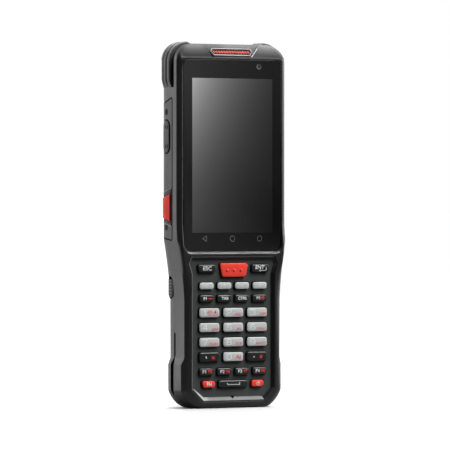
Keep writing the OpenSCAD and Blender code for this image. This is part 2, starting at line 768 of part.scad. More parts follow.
// Top corner bumpers, a band round each corner from the side to the top face
bumper_y = bevel_edge_y + bumper_inset;
bumper_rear_y = bumper_y + bumper_w;
bumper_z = panel_z + panel_h + bumper_rise;
bumper_groove = 2.9;
strip_pitch = bumper_w / 3 + 0.3;
strip_groove = 0.6;
module corner_band(inner, outer) {
    translate([head_half - head_corner_r, corner_z]) {
        intersection() {
            difference() {
                circle(r = head_corner_r + outer, $fn = 96);
                circle(r = head_corner_r - inner, $fn = 96);
            }
            square(2 * head_corner_r);
        }
        translate([head_corner_r - inner, bumper_z - corner_z])
            square([inner + outer, corner_z - bumper_z]);
        translate([head_corner_r - bumper_reach, head_corner_r - inner])
            square([bumper_reach - head_corner_r, inner + outer]);
    }
}
module top_bumpers() {
    color("#27292a") both_sides() difference() {
        intersection() {
            slab(bumper_y, bumper_rear_y) corner_band(bumper_seat, bumper_proud + 1);
            body_form(bumper_proud);
        }
        for (i = [1, 2]) slab(bumper_y + i * strip_pitch - strip_groove, bumper_y + i * strip_pitch)
            corner_band(strip_groove - bumper_proud, bumper_proud + 2);
        slab(bumper_y - 1, bumper_rear_y + 1) polygon([
            [head_half + bumper_proud + 1, bumper_z - 1],
            [head_half, bumper_z - 1],
            [head_half, bumper_z],
            [head_half + bumper_proud + 1, bumper_z + bumper_slope]]);
    }
}
module bumper_seats() {
    both_sides() slab(bumper_y - bumper_groove, bumper_rear_y) corner_band(bumper_seat, 6);
}

// Status light in a scoop of the sloped brow
brow_tilt = atan(brow_lean / brow_h);
light_z = brow_z + 0.42 * brow_h;
light_y = front_at(light_z, 0);
module on_brow() {
    translate([0, light_y, light_z]) rotate([-brow_tilt, 0, 0]) children();
}
module light_outline(grow = 0) {
    w = light_w / 2 + grow;
    h = light_h / 2 + grow;
    polygon([[-w + 0.9 * h, -h], [w - 0.9 * h, -h], [w, 0.15 * h], [w - 0.5 * h, h],
        [-w + 0.5 * h, h], [-w, 0.15 * h]]);
}
light_sunk = 0.7;
bezel_w = 0.65;
module status_light_lens() {
    color("#d8453a") on_brow() difference() {
        slab(light_sunk - 0.6, light_sunk + 1) light_outline();
        for (i = [-8:8]) translate([i * 1.5, 0, 0])
            slab(light_sunk - 1.6, light_sunk - 0.35)
                polygon([[1.8, -2.4], [2.2, -2.4], [-1.8, 2.4], [-2.2, 2.4]]);
    }
}
module status_light_bezel() {
    color("silver") on_brow() difference() {
        slab(light_sunk - 0.75, light_sunk + 0.7) light_outline(bezel_w);
        slab(light_sunk - 3, light_sunk + 3) light_outline(fit_gap / 2);
    }
}
module light_pocket() {
    on_brow() {
        slab(-far, light_sunk) polygon([
            [-light_w / 2 + 0.9, -brow_h * 0.44], [light_w / 2 - 0.9, -brow_h * 0.44],
            [light_w / 2 + 7.6, brow_h], [-light_w / 2 - 7.6, brow_h]]);
        slab(-1, light_sunk + 0.7) light_outline(bezel_w + fit_gap / 2);
        slab(-1, light_sunk + 1) light_outline(fit_gap / 2);
    }
}

// Cradle guide grooves in the sides of the foot, along the seam
guide_half = 1.65;
slit_half = 0.35;
module guide_grooves() {
    both_sides() side_slab(grip_half - 0.6, far) translate([seam_y, 0]) polygon(mirrored([
        [slit_half, foot_corner_h - 3.5],
        [guide_half, foot_corner_h],
        [guide_half, foot_h + 1],
        [slit_half, foot_h + flare_h + 0.5],
        [slit_half, foot_h + 17.8]]));
}

// Top end: scan window and the engine behind it
window_y = seam_y + 1.6;
module scan_window() {
    color("#7a1512") translate([-window_w / 2, window_y, body_h - 1.4])
        cube([window_w, window_d, 1.2]);
}
module scan_tunnel() {
    translate([-window_w / 2 - fit_gap, window_y - fit_gap, body_h - 1.4])
        cube([window_w + 2 * fit_gap, window_d + 2 * fit_gap, 5]);
    translate([-window_w / 2 + 1, window_y + 0.6, body_h - side_wall - 1])
        cube([window_w - 2, window_d - 1.2, side_wall + 2]);
}
engine_z = body_h - side_wall - 0.2 - engine_h;
module scan_engine() {
    color("#565a5e") translate([0, window_y, engine_z]) difference() {
        translate([-window_w / 2 + 2, 0, 0]) cube([window_w - 4, engine_d, engine_h]);
        translate([-4.5, window_d / 2, engine_h - 2]) cylinder(r = 1.9, h = 5, $fn = 32);
        translate([3.5, window_d / 2, engine_h - 2]) cylinder(r = 1.2, h = 5, $fn = 32);
    }
}

// Back of the head
camera_z = body_h - rear_camera_drop;
speaker_z = glass_z + speaker_rise;
camera_back = back_wall + 0.4;
module rear_camera() {
    color("#101113") translate([-rear_camera_x, 0, camera_z]) difference() {
        union() {
            rod_y(0, 0, rear_camera_r, rear_y - camera_back, rear_y, 64);
            rod_y(0, 0, rear_camera_r - 0.6, seam_y + 3, rear_y - back_wall, 64);
        }
        rod_y(0, 0, rear_camera_r - 1.4, rear_y - 0.5, far, 64);
        rod_y(0, 0, 1.6, rear_y - 1.4, far, 48);
    }
    color("#e8e2c8") rod_y(0, camera_z, flash_r, rear_y - camera_back, rear_y - 0.1, 48);
}
module speaker() {
    color("#2a2a2c") translate([-speaker_w / 2, rear_y - back_wall - speaker_t, speaker_z - speaker_h / 2])
        cube([speaker_w, speaker_t, speaker_h]);
}
module back_cuts() {
    rod_y(-rear_camera_x, camera_z, rear_camera_r + fit_gap, seam_y + 6, far, 64);
    rod_y(0, camera_z, flash_r + fit_gap, seam_y + 6, far, 48);
    for (i = [-3:3]) translate([2.2 * i, 0, speaker_z])
        slab(rear_y - back_wall - 1, far) stadium(1.1, 7.6);
}

// Battery bay, hinged cover and latch
hinge_y = rear_y - barrel_r;
cover_in_y = rear_y - cover_t;
bay_y = seam_y + bay_floor;
bay_half = battery_w / 2 + 2.8;
trough_r = barrel_r + move_gap;
bay_z = hinge_z + trough_r + 2.2;
cover_top = hinge_z + cover_h;
cover_half = cover_w / 2;
knuckle_half = 7.7;
stub_end = 12.5;
hook_x = bay_half - 0.4;
hook_t = 2.2;
hook_h = 5;
hook_reach = 9;
module battery_pack() {
    color("#33363a") translate([-battery_w / 2, bay_y, bay_z + 0.6])
        cube([battery_w, battery_t, battery_h]);
}
module battery_bay() {
    slab(bay_y, far) translate([-bay_half, bay_z])
        square([2 * bay_half, cover_top - 2.4 - bay_z]);
    difference() {
        union() {
            slab(cover_in_y - 0.1, far) cover_outline(move_gap);
            rod_x(hinge_y, hinge_z, trough_r, -cover_half - move_gap, cover_half + move_gap, 96);
            side_slab(-cover_half - move_gap, cover_half + move_gap)
                translate([hinge_y, hinge_z]) rotate(-cover_swing)
                    square([trough_r - move_gap / 3, far]);
        }
        middle_knuckle();
    }
}
module cover_outline(gap) {
    w = cover_half + gap;
    polygon(mirrored([[w, hinge_z], [w, cover_top - 4], [w - 4, cover_top + gap]]));
}
// The knuckle of the rear housing that the cover's stub axles turn in
module middle_knuckle() {
    knuckle_r = barrel_r - 0.1;
    neck = knuckle_r - 0.5;
    rod_x(hinge_y, hinge_z, knuckle_r, -knuckle_half, knuckle_half, 96);
    translate([-knuckle_half, hinge_y - trough_r - 1, hinge_z - neck])
        cube([2 * knuckle_half, trough_r + 1, 2 * neck]);
}
module battery_cover() {
    color("#2a2c2e") {
        difference() {
            intersection() {
                body_form();
                union() {
                    slab(cover_in_y, far) cover_outline(0);
                    rod_x(hinge_y, hinge_z, barrel_r, -cover_half, cover_half, 96);
                }
            }
            rod_x(hinge_y, hinge_z, trough_r, -knuckle_half - move_gap, knuckle_half + move_gap, 96);
            for (s = [-1, 1]) translate([0, 0, cover_top - 5 - 2.5 * s])
                slab(rear_y - 0.5, far) square([16, 1.2], center = true);
        }
        both_sides() rod_x(hinge_y, hinge_z, axle_r, 1, stub_end, 48);
        translate([-hook_x, cover_in_y - hook_reach, latch_z - hook_h / 2])
            cube([hook_t, hook_reach + 0.4, hook_h]);
    }
}
latch_floor_x = grip_half - 2.4;
latch_y = seam_y + 3.6;
latch_proud = 0.45;
latch_rim = 0.6;
latch_rib_r = 0.55;
latch_rib_pitch = 1.75;
bolt_w = 2.4;
bolt_h = 4;
module battery_latch() {
    color("#1b1c1e") mirror([1, 0, 0]) {
        side_slab(latch_floor_x + 0.2, grip_half + latch_proud)
            translate([latch_y, latch_z]) stadium(latch_w, latch_l);
        intersection() {
            for (i = [-2.5:2.5])
                rod_y(grip_half + latch_proud, latch_z + latch_rib_pitch * i, latch_rib_r,
                    latch_y - latch_w / 2, latch_y + latch_w / 2, 24);
            side_slab(latch_floor_x, far) translate([latch_y, latch_z]) stadium(latch_w, latch_l);
        }
        translate([hook_x + move_gap, latch_y - bolt_w / 2, latch_z - bolt_h / 2])
            cube([latch_floor_x + 1 - hook_x - move_gap, bolt_w, bolt_h]);
    }
}
// The latch slides upwards in its recess; the cut leaves a clearance at both ends
module latch_cuts() {
    mirror([1, 0, 0]) {
        side_slab(latch_floor_x, far) translate([latch_y, latch_z + latch_travel / 2])
            stadium(latch_w + 2 * latch_rim, latch_l + latch_travel + 2 * move_gap);
        translate([bay_half - 1, latch_y - bolt_w / 2 - move_gap, latch_z - bolt_h / 2 - move_gap])
            cube([latch_floor_x - bay_half + 2, bolt_w + 2 * move_gap,
                bolt_h + latch_travel + 2 * move_gap]);
    }
}

// The two shells and the seal between them
seal_w = 0.8;
seal_groove = 0.5;
module seal_ring(gap = 0) {
    difference() {
        inner_outline(gap);
        inner_outline(seal_w - gap);
    }
}
module housing_seal() {
    color("#8d3b34") slab(seam_y - 1.4, seam_y + seal_groove) seal_ring(fit_gap / 2);
}
module front_housing() {
    color("#252729") difference() {
        body_form();
        translate([-far / 2, seam_y, -1]) cube([far, far, 2 * far]);
        slab(-far, glass_back_y) glass_outline(fit_gap);
        slab(-far, board_y + 1) display_outline(fit_gap);
        glass_lip_cut();
        pad_recess();
        slab(front_y, plate_back_y) pad_outline(fit_gap);
        slab(front_y, membrane_y) pad_outline(-pad_ledge);
        slab(membrane_y, board_y + 0.5) pad_outline(0.5);
        difference() {
            slab(board_y, seam_y + 1) inner_outline();
            columns(board_y - 1, seam_y + 2, column_r);
        }
        rod_y(front_camera_x, glass_top - front_camera_drop, front_camera_r + fit_gap,
            screen_y, board_y - 0.6);
        screw_holes();
        light_pocket();
        bumper_seats();
        side_cuts();
        port_hole();
        guide_grooves();
        charging_bores();
    }
}
module rear_housing() {
    color("#252729") difference() {
        body_form();
        translate([-far / 2, seam_y - far, -1]) cube([far, far, 2 * far]);
        difference() {
            slab(seam_y - 1, rear_y - back_wall) intersection() {
                inner_outline();
                translate([-head_w, cover_top + 4]) square([2 * head_w, body_h]);
            }
            columns(seam_y - 2, rear_y, column_r);
        }
        slab(seam_y - 1, seam_y + seal_groove) seal_ring();
        battery_bay();
        rod_x(hinge_y, hinge_z, axle_r + run_gap, -knuckle_half - 1, knuckle_half + 1);
        latch_cuts();
        screw_holes();
        bumper_seats();
        side_cuts();
        port_hole();
        guide_grooves();
        scan_tunnel();
        back_cuts();
    }
}
module main_board() {
    color("#1e5b3c") difference() {
        slab(board_y, board_y + board_t) intersection() {
            inner_outline(0.4);
            translate([-head_w, 0]) square([2 * head_w, body_h - 14]);
        }
        columns(board_y - 1, board_y + board_t + 1, column_r + 0.3);
    }
}
CONTACTS = [-8, -4, 0, 4, 8];
contact_y = seam_y - 4;
module charging_bores() {
    for (x = CONTACTS) translate([x, contact_y, -1]) cylinder(r = 0.9, h = chin_h + 3, $fn = 32);
}
module charging_contacts() {
    color("#c9a227") for (x = CONTACTS) translate([x, contact_y, 0.3])
        cylinder(r = 0.85, h = chin_h + 0.4, $fn = 32);
}
module touch_glass() {
    color("#0c0d0f") slab(screen_y, glass_back_y) glass_outline();
}
module display_module() {
    color("#4a5056") slab(glass_back_y, glass_back_y + display_t) display_outline();
}
module front_camera() {
    color("#101418") rod_y(front_camera_x, glass_top - front_camera_drop, front_camera_r,
        glass_back_y, glass_back_y + front_camera_d);
}

front_housing();
rear_housing();
housing_seal();
housing_screws();
touch_glass();
display_module();
front_camera();
keypad_plate();
keypad_membrane();
main_board();
dome_switches();
status_light_lens();
status_light_bezel();
top_bumpers();
side_key_panels();
side_panel_screws();
side_switches();
volume_rocker();
left_scan_trigger();
right_scan_trigger();
port_cover();
port_connector();
battery_pack();
battery_cover();
battery_latch();
scan_engine();
scan_window();
rear_camera();
speaker();
charging_contacts();
for (k = KEYS) key(k);
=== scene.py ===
import functools
import json
from math import acos, atan, atan2, ceil, cos, pi, radians, sin, sqrt, tan

import bmesh
import bpy
from mathutils import Matrix, Vector


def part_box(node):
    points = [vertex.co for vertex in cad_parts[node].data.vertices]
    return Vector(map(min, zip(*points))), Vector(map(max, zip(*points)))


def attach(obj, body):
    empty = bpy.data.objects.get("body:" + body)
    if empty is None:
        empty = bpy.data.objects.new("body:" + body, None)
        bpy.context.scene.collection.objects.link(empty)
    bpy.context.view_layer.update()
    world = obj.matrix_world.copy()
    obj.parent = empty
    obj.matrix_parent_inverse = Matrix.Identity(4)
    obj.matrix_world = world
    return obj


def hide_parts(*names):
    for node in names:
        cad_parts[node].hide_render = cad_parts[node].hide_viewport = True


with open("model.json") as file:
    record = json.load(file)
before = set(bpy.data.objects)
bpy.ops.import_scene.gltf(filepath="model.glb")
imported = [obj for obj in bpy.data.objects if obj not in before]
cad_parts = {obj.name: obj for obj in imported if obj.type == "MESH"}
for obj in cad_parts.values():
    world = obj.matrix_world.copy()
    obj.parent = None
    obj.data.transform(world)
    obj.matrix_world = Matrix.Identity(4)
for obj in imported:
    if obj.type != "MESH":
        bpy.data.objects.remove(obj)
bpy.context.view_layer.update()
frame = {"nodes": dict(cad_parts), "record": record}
nodes = frame["nodes"]
scene = bpy.context.scene
mm = 0.001
NODE_SLOT = {row["node"]: row["material_slot"] for row in frame["record"]["subparts"]}


# ------------ node trees

def feed(tree, socket, value):
    """Gives a socket a link from a node or an output, or a colour or plain value."""
    if isinstance(value, bpy.types.Node):
        value = value.outputs[0]
    if isinstance(value, bpy.types.NodeSocket):
        tree.links.new(value, socket)
    else:
        socket.default_value = (*value, 1) if socket.type == "RGBA" else value


def add_node(tree, kind, sockets=(), **settings):
    node = tree.nodes.new(kind)
    for key, value in settings.items():
        setattr(node, key, value)
    for key, value in dict(sockets).items():
        feed(tree, node.inputs[key], value)
    return node


def span(tree, value, *limits, **settings):
    """Maps a value from one range onto another."""
    ends = dict(zip(("From Min", "From Max", "To Min", "To Max"), limits))
    return add_node(tree, "ShaderNodeMapRange", {"Value": value, **ends}, **settings)


def geometry_tree(name, **inputs):
    """A tree that takes in geometry and the named values and gives out geometry."""
    tree = bpy.data.node_groups.new(name, "GeometryNodeTree")
    for label, kind in {"Geometry": "Geometry", **inputs}.items():
        tree.interface.new_socket(label.replace("_", " "), in_out="INPUT", socket_type="NodeSocket" + kind)
    tree.interface.new_socket("Geometry", in_out="OUTPUT", socket_type="NodeSocketGeometry")
    return tree, functools.partial(add_node, tree), add_node(tree, "NodeGroupInput").outputs


def socket_names(tree):
    return {item.name: item.identifier for item in tree.interface.items_tree
            if item.item_type == "SOCKET" and item.in_out == "INPUT"}


# ------------ studio

def aim(thing, place, target):
    thing.location = Vector(place)
    thing.rotation_euler = (Vector(target) - Vector(place)).to_track_quat("-Z", "Y").to_euler()
    scene.collection.objects.link(thing)


def set_camera():
    lens = bpy.data.cameras.new("camera")
    lens.lens = 345.5
    lens.sensor_width = 36
    lens.clip_end = 50
    camera = bpy.data.objects.new("camera", lens)
    aim(camera, (-1.2138, -2.1073, 0.1161), (0.0013, -0.0008, 0.1025))
    scene.camera = camera


def softbox(name, place, width, height, power):
    lamp = bpy.data.lights.new(name, "AREA")
    lamp.shape = "RECTANGLE"
    lamp.size = width
    lamp.size_y = height
    lamp.energy = power
    box = bpy.data.objects.new(name, lamp)
    aim(box, place, (0, 0, 0.1))
    box.visible_camera = False


def set_room():
    """White where the camera looks. The object sees it dark in front of the screen and light behind."""
    world = scene.world = bpy.data.worlds.new("studio")
    world.use_nodes = True
    tree = world.node_tree
    tree.nodes.clear()
    add = functools.partial(add_node, tree)
    split = add("ShaderNodeSeparateXYZ", {0: add("ShaderNodeTexCoord").outputs["Generated"]})
    depth = span(tree, split.outputs["Y"], -0.15, 0.2, 0.06, 1.0, interpolation_type="SMOOTHSTEP")
    room = add("ShaderNodeBackground", {"Color": depth})
    wall = add("ShaderNodeBackground", {"Color": (1, 1, 1)})
    sight = add("ShaderNodeLightPath").outputs
    seen = add("ShaderNodeMath", {0: sight["Is Camera Ray"], 1: sight["Is Transmission Ray"]},
               operation="MAXIMUM")
    add("ShaderNodeOutputWorld", {0: add("ShaderNodeMixShader", {0: seen, 1: room, 2: wall})})


def lay_floor():
    """White paper that shows the object's shadow close by."""
    bm = bmesh.new()
    bmesh.ops.create_grid(bm, x_segments=1, y_segments=1, size=30)
    mesh = bpy.data.meshes.new("floor")
    bm.to_mesh(mesh)
    bm.free()
    floor = bpy.data.objects.new("floor", mesh)
    scene.collection.objects.link(floor)
    paper = bpy.data.materials.new("white_paper")
    paper.use_nodes = True
    tree = paper.node_tree
    tree.nodes.clear()
    add = functools.partial(add_node, tree)
    place = add("ShaderNodeTexCoord").outputs["Object"]
    # The object sees the paper dark in front of it and lighter behind it
    depth = add("ShaderNodeSeparateXYZ", {0: place}).outputs["Y"]
    matt = add("ShaderNodeBsdfDiffuse", {"Color": span(tree, depth, -0.06, 0.14, 0.06, 0.6)})
    # Seen from the camera the paper glows, more so further off; to the left of the foot the glow is painted
    # light that washes out the object's shadow
    away = add("ShaderNodeVectorMath", {0: place}, operation="LENGTH").outputs["Value"]
    beside = add("ShaderNodeVectorMath", {0: place, 1: (-0.866, 0.5, 0)},
                 operation="DOT_PRODUCT").outputs["Value"]
    level = add("ShaderNodeMath", {0: span(tree, away, 0.1, 0.6, 0.06, 0.78),
                                   1: span(tree, beside, 0.0205, 0.033, 0, 0.6)}, use_clamp=True)
    pale = add("ShaderNodeBsdfDiffuse", {"Color": (0.45, 0.45, 0.45)})
    lit = add("ShaderNodeAddShader", {0: pale, 1: add("ShaderNodeEmission", {"Strength": level})})
    seen = add("ShaderNodeLightPath").outputs["Is Camera Ray"]
    add("ShaderNodeOutputMaterial", {0: add("ShaderNodeMixShader", {0: seen, 1: matt, 2: lit})})
    mesh.materials.append(paper)


scene.view_settings.view_transform = "Standard"
set_camera()
set_room()
lay_floor()
softbox("key_softbox", (0.42, -0.88, 1.22), 0.9, 0.7, 22)
softbox("overhead_softbox", (0.8, -0.12, 1.25), 0.9, 0.5, 22)
softbox("top_softbox", (0.55, 0.6, 1.3), 1.2, 0.9, 8)
softbox("right_softbox", (1.35, -0.12, 0.6), 0.8, 0.9, 9)
softbox("side_softbox", (-0.9, 1.5, 0.35), 0.9, 1.2, 2.2)


# ------------ finishes

finishes = {}


class Finish:
    """A material in the making, with its pattern on object coordinates in millimetres."""

    def __init__(self, name):
        mat = finishes[name] = bpy.data.materials.new(name)
        mat.use_nodes = True
        self.tree = mat.node_tree
        self.bsdf = self.tree.nodes["Principled BSDF"]
        self.add = functools.partial(add_node, self.tree)
        self.span = functools.partial(span, self.tree)
        place = self.add("ShaderNodeTexCoord").outputs["Object"]
        self.point = self.add("ShaderNodeMapping", {"Vector": place, "Scale": (1000, 1000, 1000)})

    def axes(self):
        return self.add("ShaderNodeSeparateXYZ", {0: self.point}).outputs

    def set(self, **values):
        for key, value in values.items():
            feed(self.tree, self.bsdf.inputs[key.replace("_", " ")], value)

    def noise(self, per_mm, detail=3, rough=0.5):
        return self.add("ShaderNodeTexNoise", {"Vector": self.point, "Scale": per_mm, "Detail": detail,
                                               "Roughness": rough})

    def blend(self, fac, a, b):
        return self.add("ShaderNodeMix", {0: fac, 6: a, 7: b}, data_type="RGBA").outputs[2]

    def math(self, kind, *values):
        return self.add("ShaderNodeMath", dict(enumerate(values)), operation=kind)

    def relief(self, height, strength, depth_mm, round_mm=0.0):
        sockets = {"Height": height, "Strength": strength, "Distance": depth_mm * mm}
        if round_mm:
            sockets["Normal"] = self.add("ShaderNodeBevel", {"Radius": round_mm * mm}, samples=4)
        self.set(Normal=self.add("ShaderNodeBump", sockets))


def moulded(name, colour, rough, grain=4.0, depth=0.02, round_mm=0.15, mottle=0.12, shine=0.5,
            brow=0.0, coat=0.0):
    """Moulded plastic or rubber: a fine grain in its face, and faint mottling of its colour and gloss."""
    f = Finish(name)
    f.set(Roughness=rough, Specular_IOR_Level=shine, Coat_Weight=coat)
    patch = f.noise(0.06, 2)
    dark, light = (tuple(min(1, c * k) for c in colour) for k in (1 - mottle, 1 + mottle))
    gloss = f.span(patch, 0.3, 0.7, rough + 0.05, rough - 0.05)
    if brow:
        # The brow at the top has a coarser face, smoother towards the right and at its left end
        x, z = f.axes()["X"], f.axes()["Z"]
        coarse = f.math("MULTIPLY", f.span(x, -18, 30, brow, brow * 0.7), f.span(z, 197.0, 203.0, 1.35, 0.6))
        coarse = f.math("MULTIPLY", coarse, f.span(x, -33.2, -31.2, 0, 1))
        gloss = f.math("MULTIPLY_ADD", f.span(z, 195.6, 197.0, 0, 1), coarse, gloss)
    f.set(Base_Color=f.blend(f.span(patch, 0.35, 0.65, 0, 1), dark, light), Roughness=gloss)
    f.relief(f.noise(grain, 2, 0.6), 0.5, depth, round_mm)


def metal(name, colour, rough):
    """Brushed metal."""
    f = Finish(name)
    grain = f.noise(1.5, 4)
    f.set(Metallic=1.0, Roughness=f.span(grain, 0.2, 0.8, rough * 0.7, rough * 1.3),
          Base_Color=f.blend(grain, tuple(c * 0.85 for c in colour), colour))
    f.relief(grain, 0.2, 0.01)


def graded(name, axis, start, end, dark, light, rough, shine):
    """Moulded plastic with painted light: lighter towards one end, where more light falls."""
    f = Finish(name)
    lit_share = f.math("MULTIPLY_ADD", f.noise(0.3), 0.12, f.span(f.axes()[axis], start, end, 0, 1))
    f.set(Base_Color=f.blend(lit_share, dark, light), Roughness=rough, Specular_IOR_Level=shine)
    f.relief(f.noise(4.0, 2, 0.6), 0.5, 0.01)


def leaning(name, centre, dark, light):
    """A printed ring with painted light, lighter at its lower left."""
    f = Finish(name)
    x, z = f.axes()["X"], f.axes()["Z"]
    lean = f.math("ADD", f.math("SUBTRACT", centre[0], x), f.math("SUBTRACT", centre[1], z))
    f.set(Base_Color=f.blend(f.span(lean, -1.6, 2.2, 0, 1), dark, light), Roughness=0.25)


def screen_face():
    """Black border and display, both under a painted reflection that falls from a light top corner to a dark
    bottom corner.
    """
    f = Finish("screen_face")
    x, z = f.axes()["X"], f.axes()["Z"]
    across, down = f.span(x, -25.9, 25.9, 0, 1), f.span(z, 184.9, 98.1, 0, 1)

    def fall(start, to_right, to_foot, both=0.0):
        depth = f.math("MULTIPLY_ADD", f.math("MULTIPLY", across, down), both, start)
        depth = f.math("MULTIPLY_ADD", down, to_foot, depth)
        return f.math("EXPONENT", f.math("MULTIPLY_ADD", across, to_right, depth))

    in_x = f.math("LESS_THAN", f.math("ABSOLUTE", x), 25.92)
    in_z = f.math("LESS_THAN", f.math("ABSOLUTE", f.math("SUBTRACT", z, 141.5)), 43.2)
    level = f.add("ShaderNodeMix", {0: f.math("MULTIPLY", in_x, in_z), 2: fall(-3.4, -1.1, -1.0),
                                    3: fall(-0.73, -2.6, -2.05, 0.75)}, data_type="FLOAT")
    tone = f.add("ShaderNodeCombineColor", {0: level, 1: level, 2: level})
    f.set(Base_Color=tone, Roughness=f.span(f.noise(0.08), 0.35, 0.7, 0.04, 0.12),
          Coat_Weight=0.4, Coat_Roughness=0.03)


moulded("shell_plastic", (0.0065, 0.0068, 0.0075), 0.34, grain=3.5, round_mm=0.25, shine=0.9, brow=0.5)
moulded("panel_plastic", (0.0075, 0.0078, 0.0085), 0.38, grain=3.0, depth=0.025, shine=0.75)
moulded("plate_plastic", (0.049, 0.056, 0.053), 0.5, grain=5.0)
moulded("bumper_rubber", (0.03, 0.031, 0.032), 0.42, grain=6.0, depth=0.015, shine=0.8)
moulded("rubbed_rubber", (0.12, 0.122, 0.125), 0.4, grain=6.0, depth=0.01, shine=0.8)
moulded("seal_rubber", (0.28, 0.05, 0.04), 0.6)
moulded("membrane_silicone", (0.3, 0.31, 0.32), 0.55)
moulded("key_black", (0.011, 0.0115, 0.0125), 0.3, grain=6, depth=0.006, shine=0.9)
moulded("key_grey", (0.55, 0.58, 0.57), 0.42, grain=6, depth=0.008, mottle=0.03)
moulded("key_red", (0.88, 0.06, 0.038), 0.45, grain=6, depth=0.008, mottle=0.04, shine=0.35)
moulded("key_side", (0.022, 0.0225, 0.023), 0.38, grain=5, depth=0.01)
moulded("trigger_red", (0.95, 0.05, 0.034), 0.5, grain=6, depth=0.008, mottle=0.04, shine=0.1)
# Darker copies for the walls of keys and the front edges of triggers, as painted shade; the black one also
# colours the battery latch's slider
moulded("skirt_black", (0.006, 0.006, 0.0065), 0.5, depth=0.01)
moulded("skirt_red", (0.2, 0.012, 0.009), 0.5, depth=0.01, shine=0.3)
moulded("ink_white", (0.82, 0.83, 0.83), 0.45, depth=0.004, mottle=0.03)
moulded("ink_red", (0.8, 0.05, 0.04), 0.45, depth=0.004, mottle=0.03)
moulded("print_grey", (0.14, 0.142, 0.146), 0.4, depth=0.0, mottle=0.04)
moulded("gap_black", (0.002, 0.002, 0.0022), 0.7, depth=0.0, shine=0.1)
moulded("scoop_grey", (0.03, 0.0305, 0.031), 0.45, depth=0.01)
# Light grey on the scoops' raised edges: a painted highlight
moulded("scoop_edge", (0.26, 0.263, 0.267), 0.42, depth=0.0, mottle=0.05)
# Light grey trim; on the glass lip and the light pocket's edge it paints a highlight
moulded("trim_light", (0.5, 0.505, 0.51), 0.4, depth=0.0, mottle=0.05, shine=0.6)
moulded("bezel_silver", (0.4, 0.4, 0.405), 0.45, depth=0.004, mottle=0.04)
moulded("board_green", (0.02, 0.16, 0.07), 0.35)
moulded("battery_case", (0.05, 0.055, 0.06), 0.45)
moulded("module_casing", (0.12, 0.12, 0.13), 0.4)
moulded("display_case", (0.1, 0.11, 0.12), 0.4)
moulded("lens_black", (0.012, 0.012, 0.014), 0.2, depth=0.0)
moulded("coated_lens", (0.012, 0.008, 0.05), 0.04, depth=0.0)
moulded("camera_iris", (0.06, 0.062, 0.066), 0.25, depth=0.0)
moulded("flash_cream", (0.75, 0.68, 0.42), 0.22, depth=0.0)
moulded("glass_black", (0.008, 0.008, 0.009), 0.06, depth=0.0)
moulded("light_red", (0.05, 0.003, 0.003), 0.5, depth=0.0, mottle=0.05, shine=0.1)
# Ribs lighter than the lens body: a painted highlight
moulded("light_rib", (0.85, 0.15, 0.12), 0.45, depth=0.0, mottle=0.05, shine=0.2)
moulded("window_red", (0.09, 0.005, 0.005), 0.07, depth=0.0, coat=0.6)
metal("screw_steel", (0.45, 0.45, 0.46), 0.35)
metal("screw_black", (0.13, 0.13, 0.135), 0.4)
metal("contact_gold", (0.78, 0.58, 0.2), 0.25)
# Painted light and shade: the recess lining lighter towards its top, the rim beads light but dark along the
# right side, the sill lit at its lower left and dark towards its right
graded("gasket_rubber", "Z", 78, 84, (0.012, 0.012, 0.0122), (0.09, 0.091, 0.093), 0.7, 0.15)
graded("rim_plastic", "X", 25.2, 26.4, (0.15, 0.151, 0.154), (0.004, 0.004, 0.0042), 0.35, 0.5)
graded("sill_plastic", "X", -15.5, -20, (0.07, 0.071, 0.073), (0.33, 0.333, 0.338), 0.45, 0.4)
# The camera ring is painted lighter at its lower left: painted light
leaning("camera_ring", (17.2, 191.6), (0.045, 0.046, 0.048), (0.2, 0.2, 0.205))
screen_face()

# The finish of a node where it isn't named as its slot is
SLOT_FINISH = {"housing_plastic": "shell_plastic", "steel": "screw_steel", "black_steel": "screw_black",
               "cover_glass": "glass_black", "display": "display_case", "lens": "lens_black",
               "circuit_board": "board_green", "bezel_metal": "bezel_silver", "engine_case": "module_casing",
               "gold": "contact_gold"}
NODE_FINISH = {node: SLOT_FINISH.get(slot, slot) for node, slot in NODE_SLOT.items()}
NODE_FINISH["side_key_panels"] = "panel_plastic"
KEYS = [name for name in nodes if name.startswith("key_")]


def smoothing_tree():
    """Joins a node's loose triangles and smooths what is rounder than the limit."""
    tree, add, source = geometry_tree("smooth_by_angle", Angle_limit="Float")
    merge = add("GeometryNodeMergeByDistance", {"Geometry": source["Geometry"], "Distance": 0.002 * mm})
    faces = add("GeometryNodeSetShadeSmooth", {"Geometry": merge})
    angle = add("GeometryNodeInputMeshEdgeAngle").outputs["Unsigned Angle"]
    below = add("FunctionNodeCompare", {"A": angle, "B": source["Angle limit"]}, data_type="FLOAT",
                operation="LESS_THAN")
    add("NodeGroupOutput", {0: add("GeometryNodeSetShadeSmooth", {"Geometry": faces, "Shade Smooth": below},
                                   domain="EDGE")})
    return tree


smooth_by_angle = smoothing_tree()
for name, node in nodes.items():
    node.data.materials.clear()
    node.data.materials.append(finishes[NODE_FINISH[name]])
    smooth = node.modifiers.new("smooth", "NODES")
    smooth.node_group = smooth_by_angle
    smooth[socket_names(smooth_by_angle)["Angle limit"]] = radians(3 if name == "side_key_panels" else 32)
    weigh = node.modifiers.new("weigh", "WEIGHTED_NORMAL")
    weigh.keep_sharp = True
    weigh.weight = 100


# ------------ shaping

def circle(radius, sides, x=0.0, y=0.0):
    turns = [2 * pi * k / sides for k in range(sides)]
    return [(x + radius * cos(a), y + radius * sin(a)) for a in turns]


def quarter(steps):
    """Angles over a quarter turn."""
    return [k / steps * pi / 2 for k in range(steps + 1)]


def sides_of(points):
    """The sides of a closed outline, each as its two ends."""
    return [(Vector(a), Vector(b)) for a, b in zip(points, points[1:] + points[:1])]


def corners_of(points):
    """The corners of a closed outline, each with its neighbours before and after it."""
    n = len(points)
    return [[Vector(points[k % n]) for k in (i - 1, i, i + 1)] for i in range(n)]


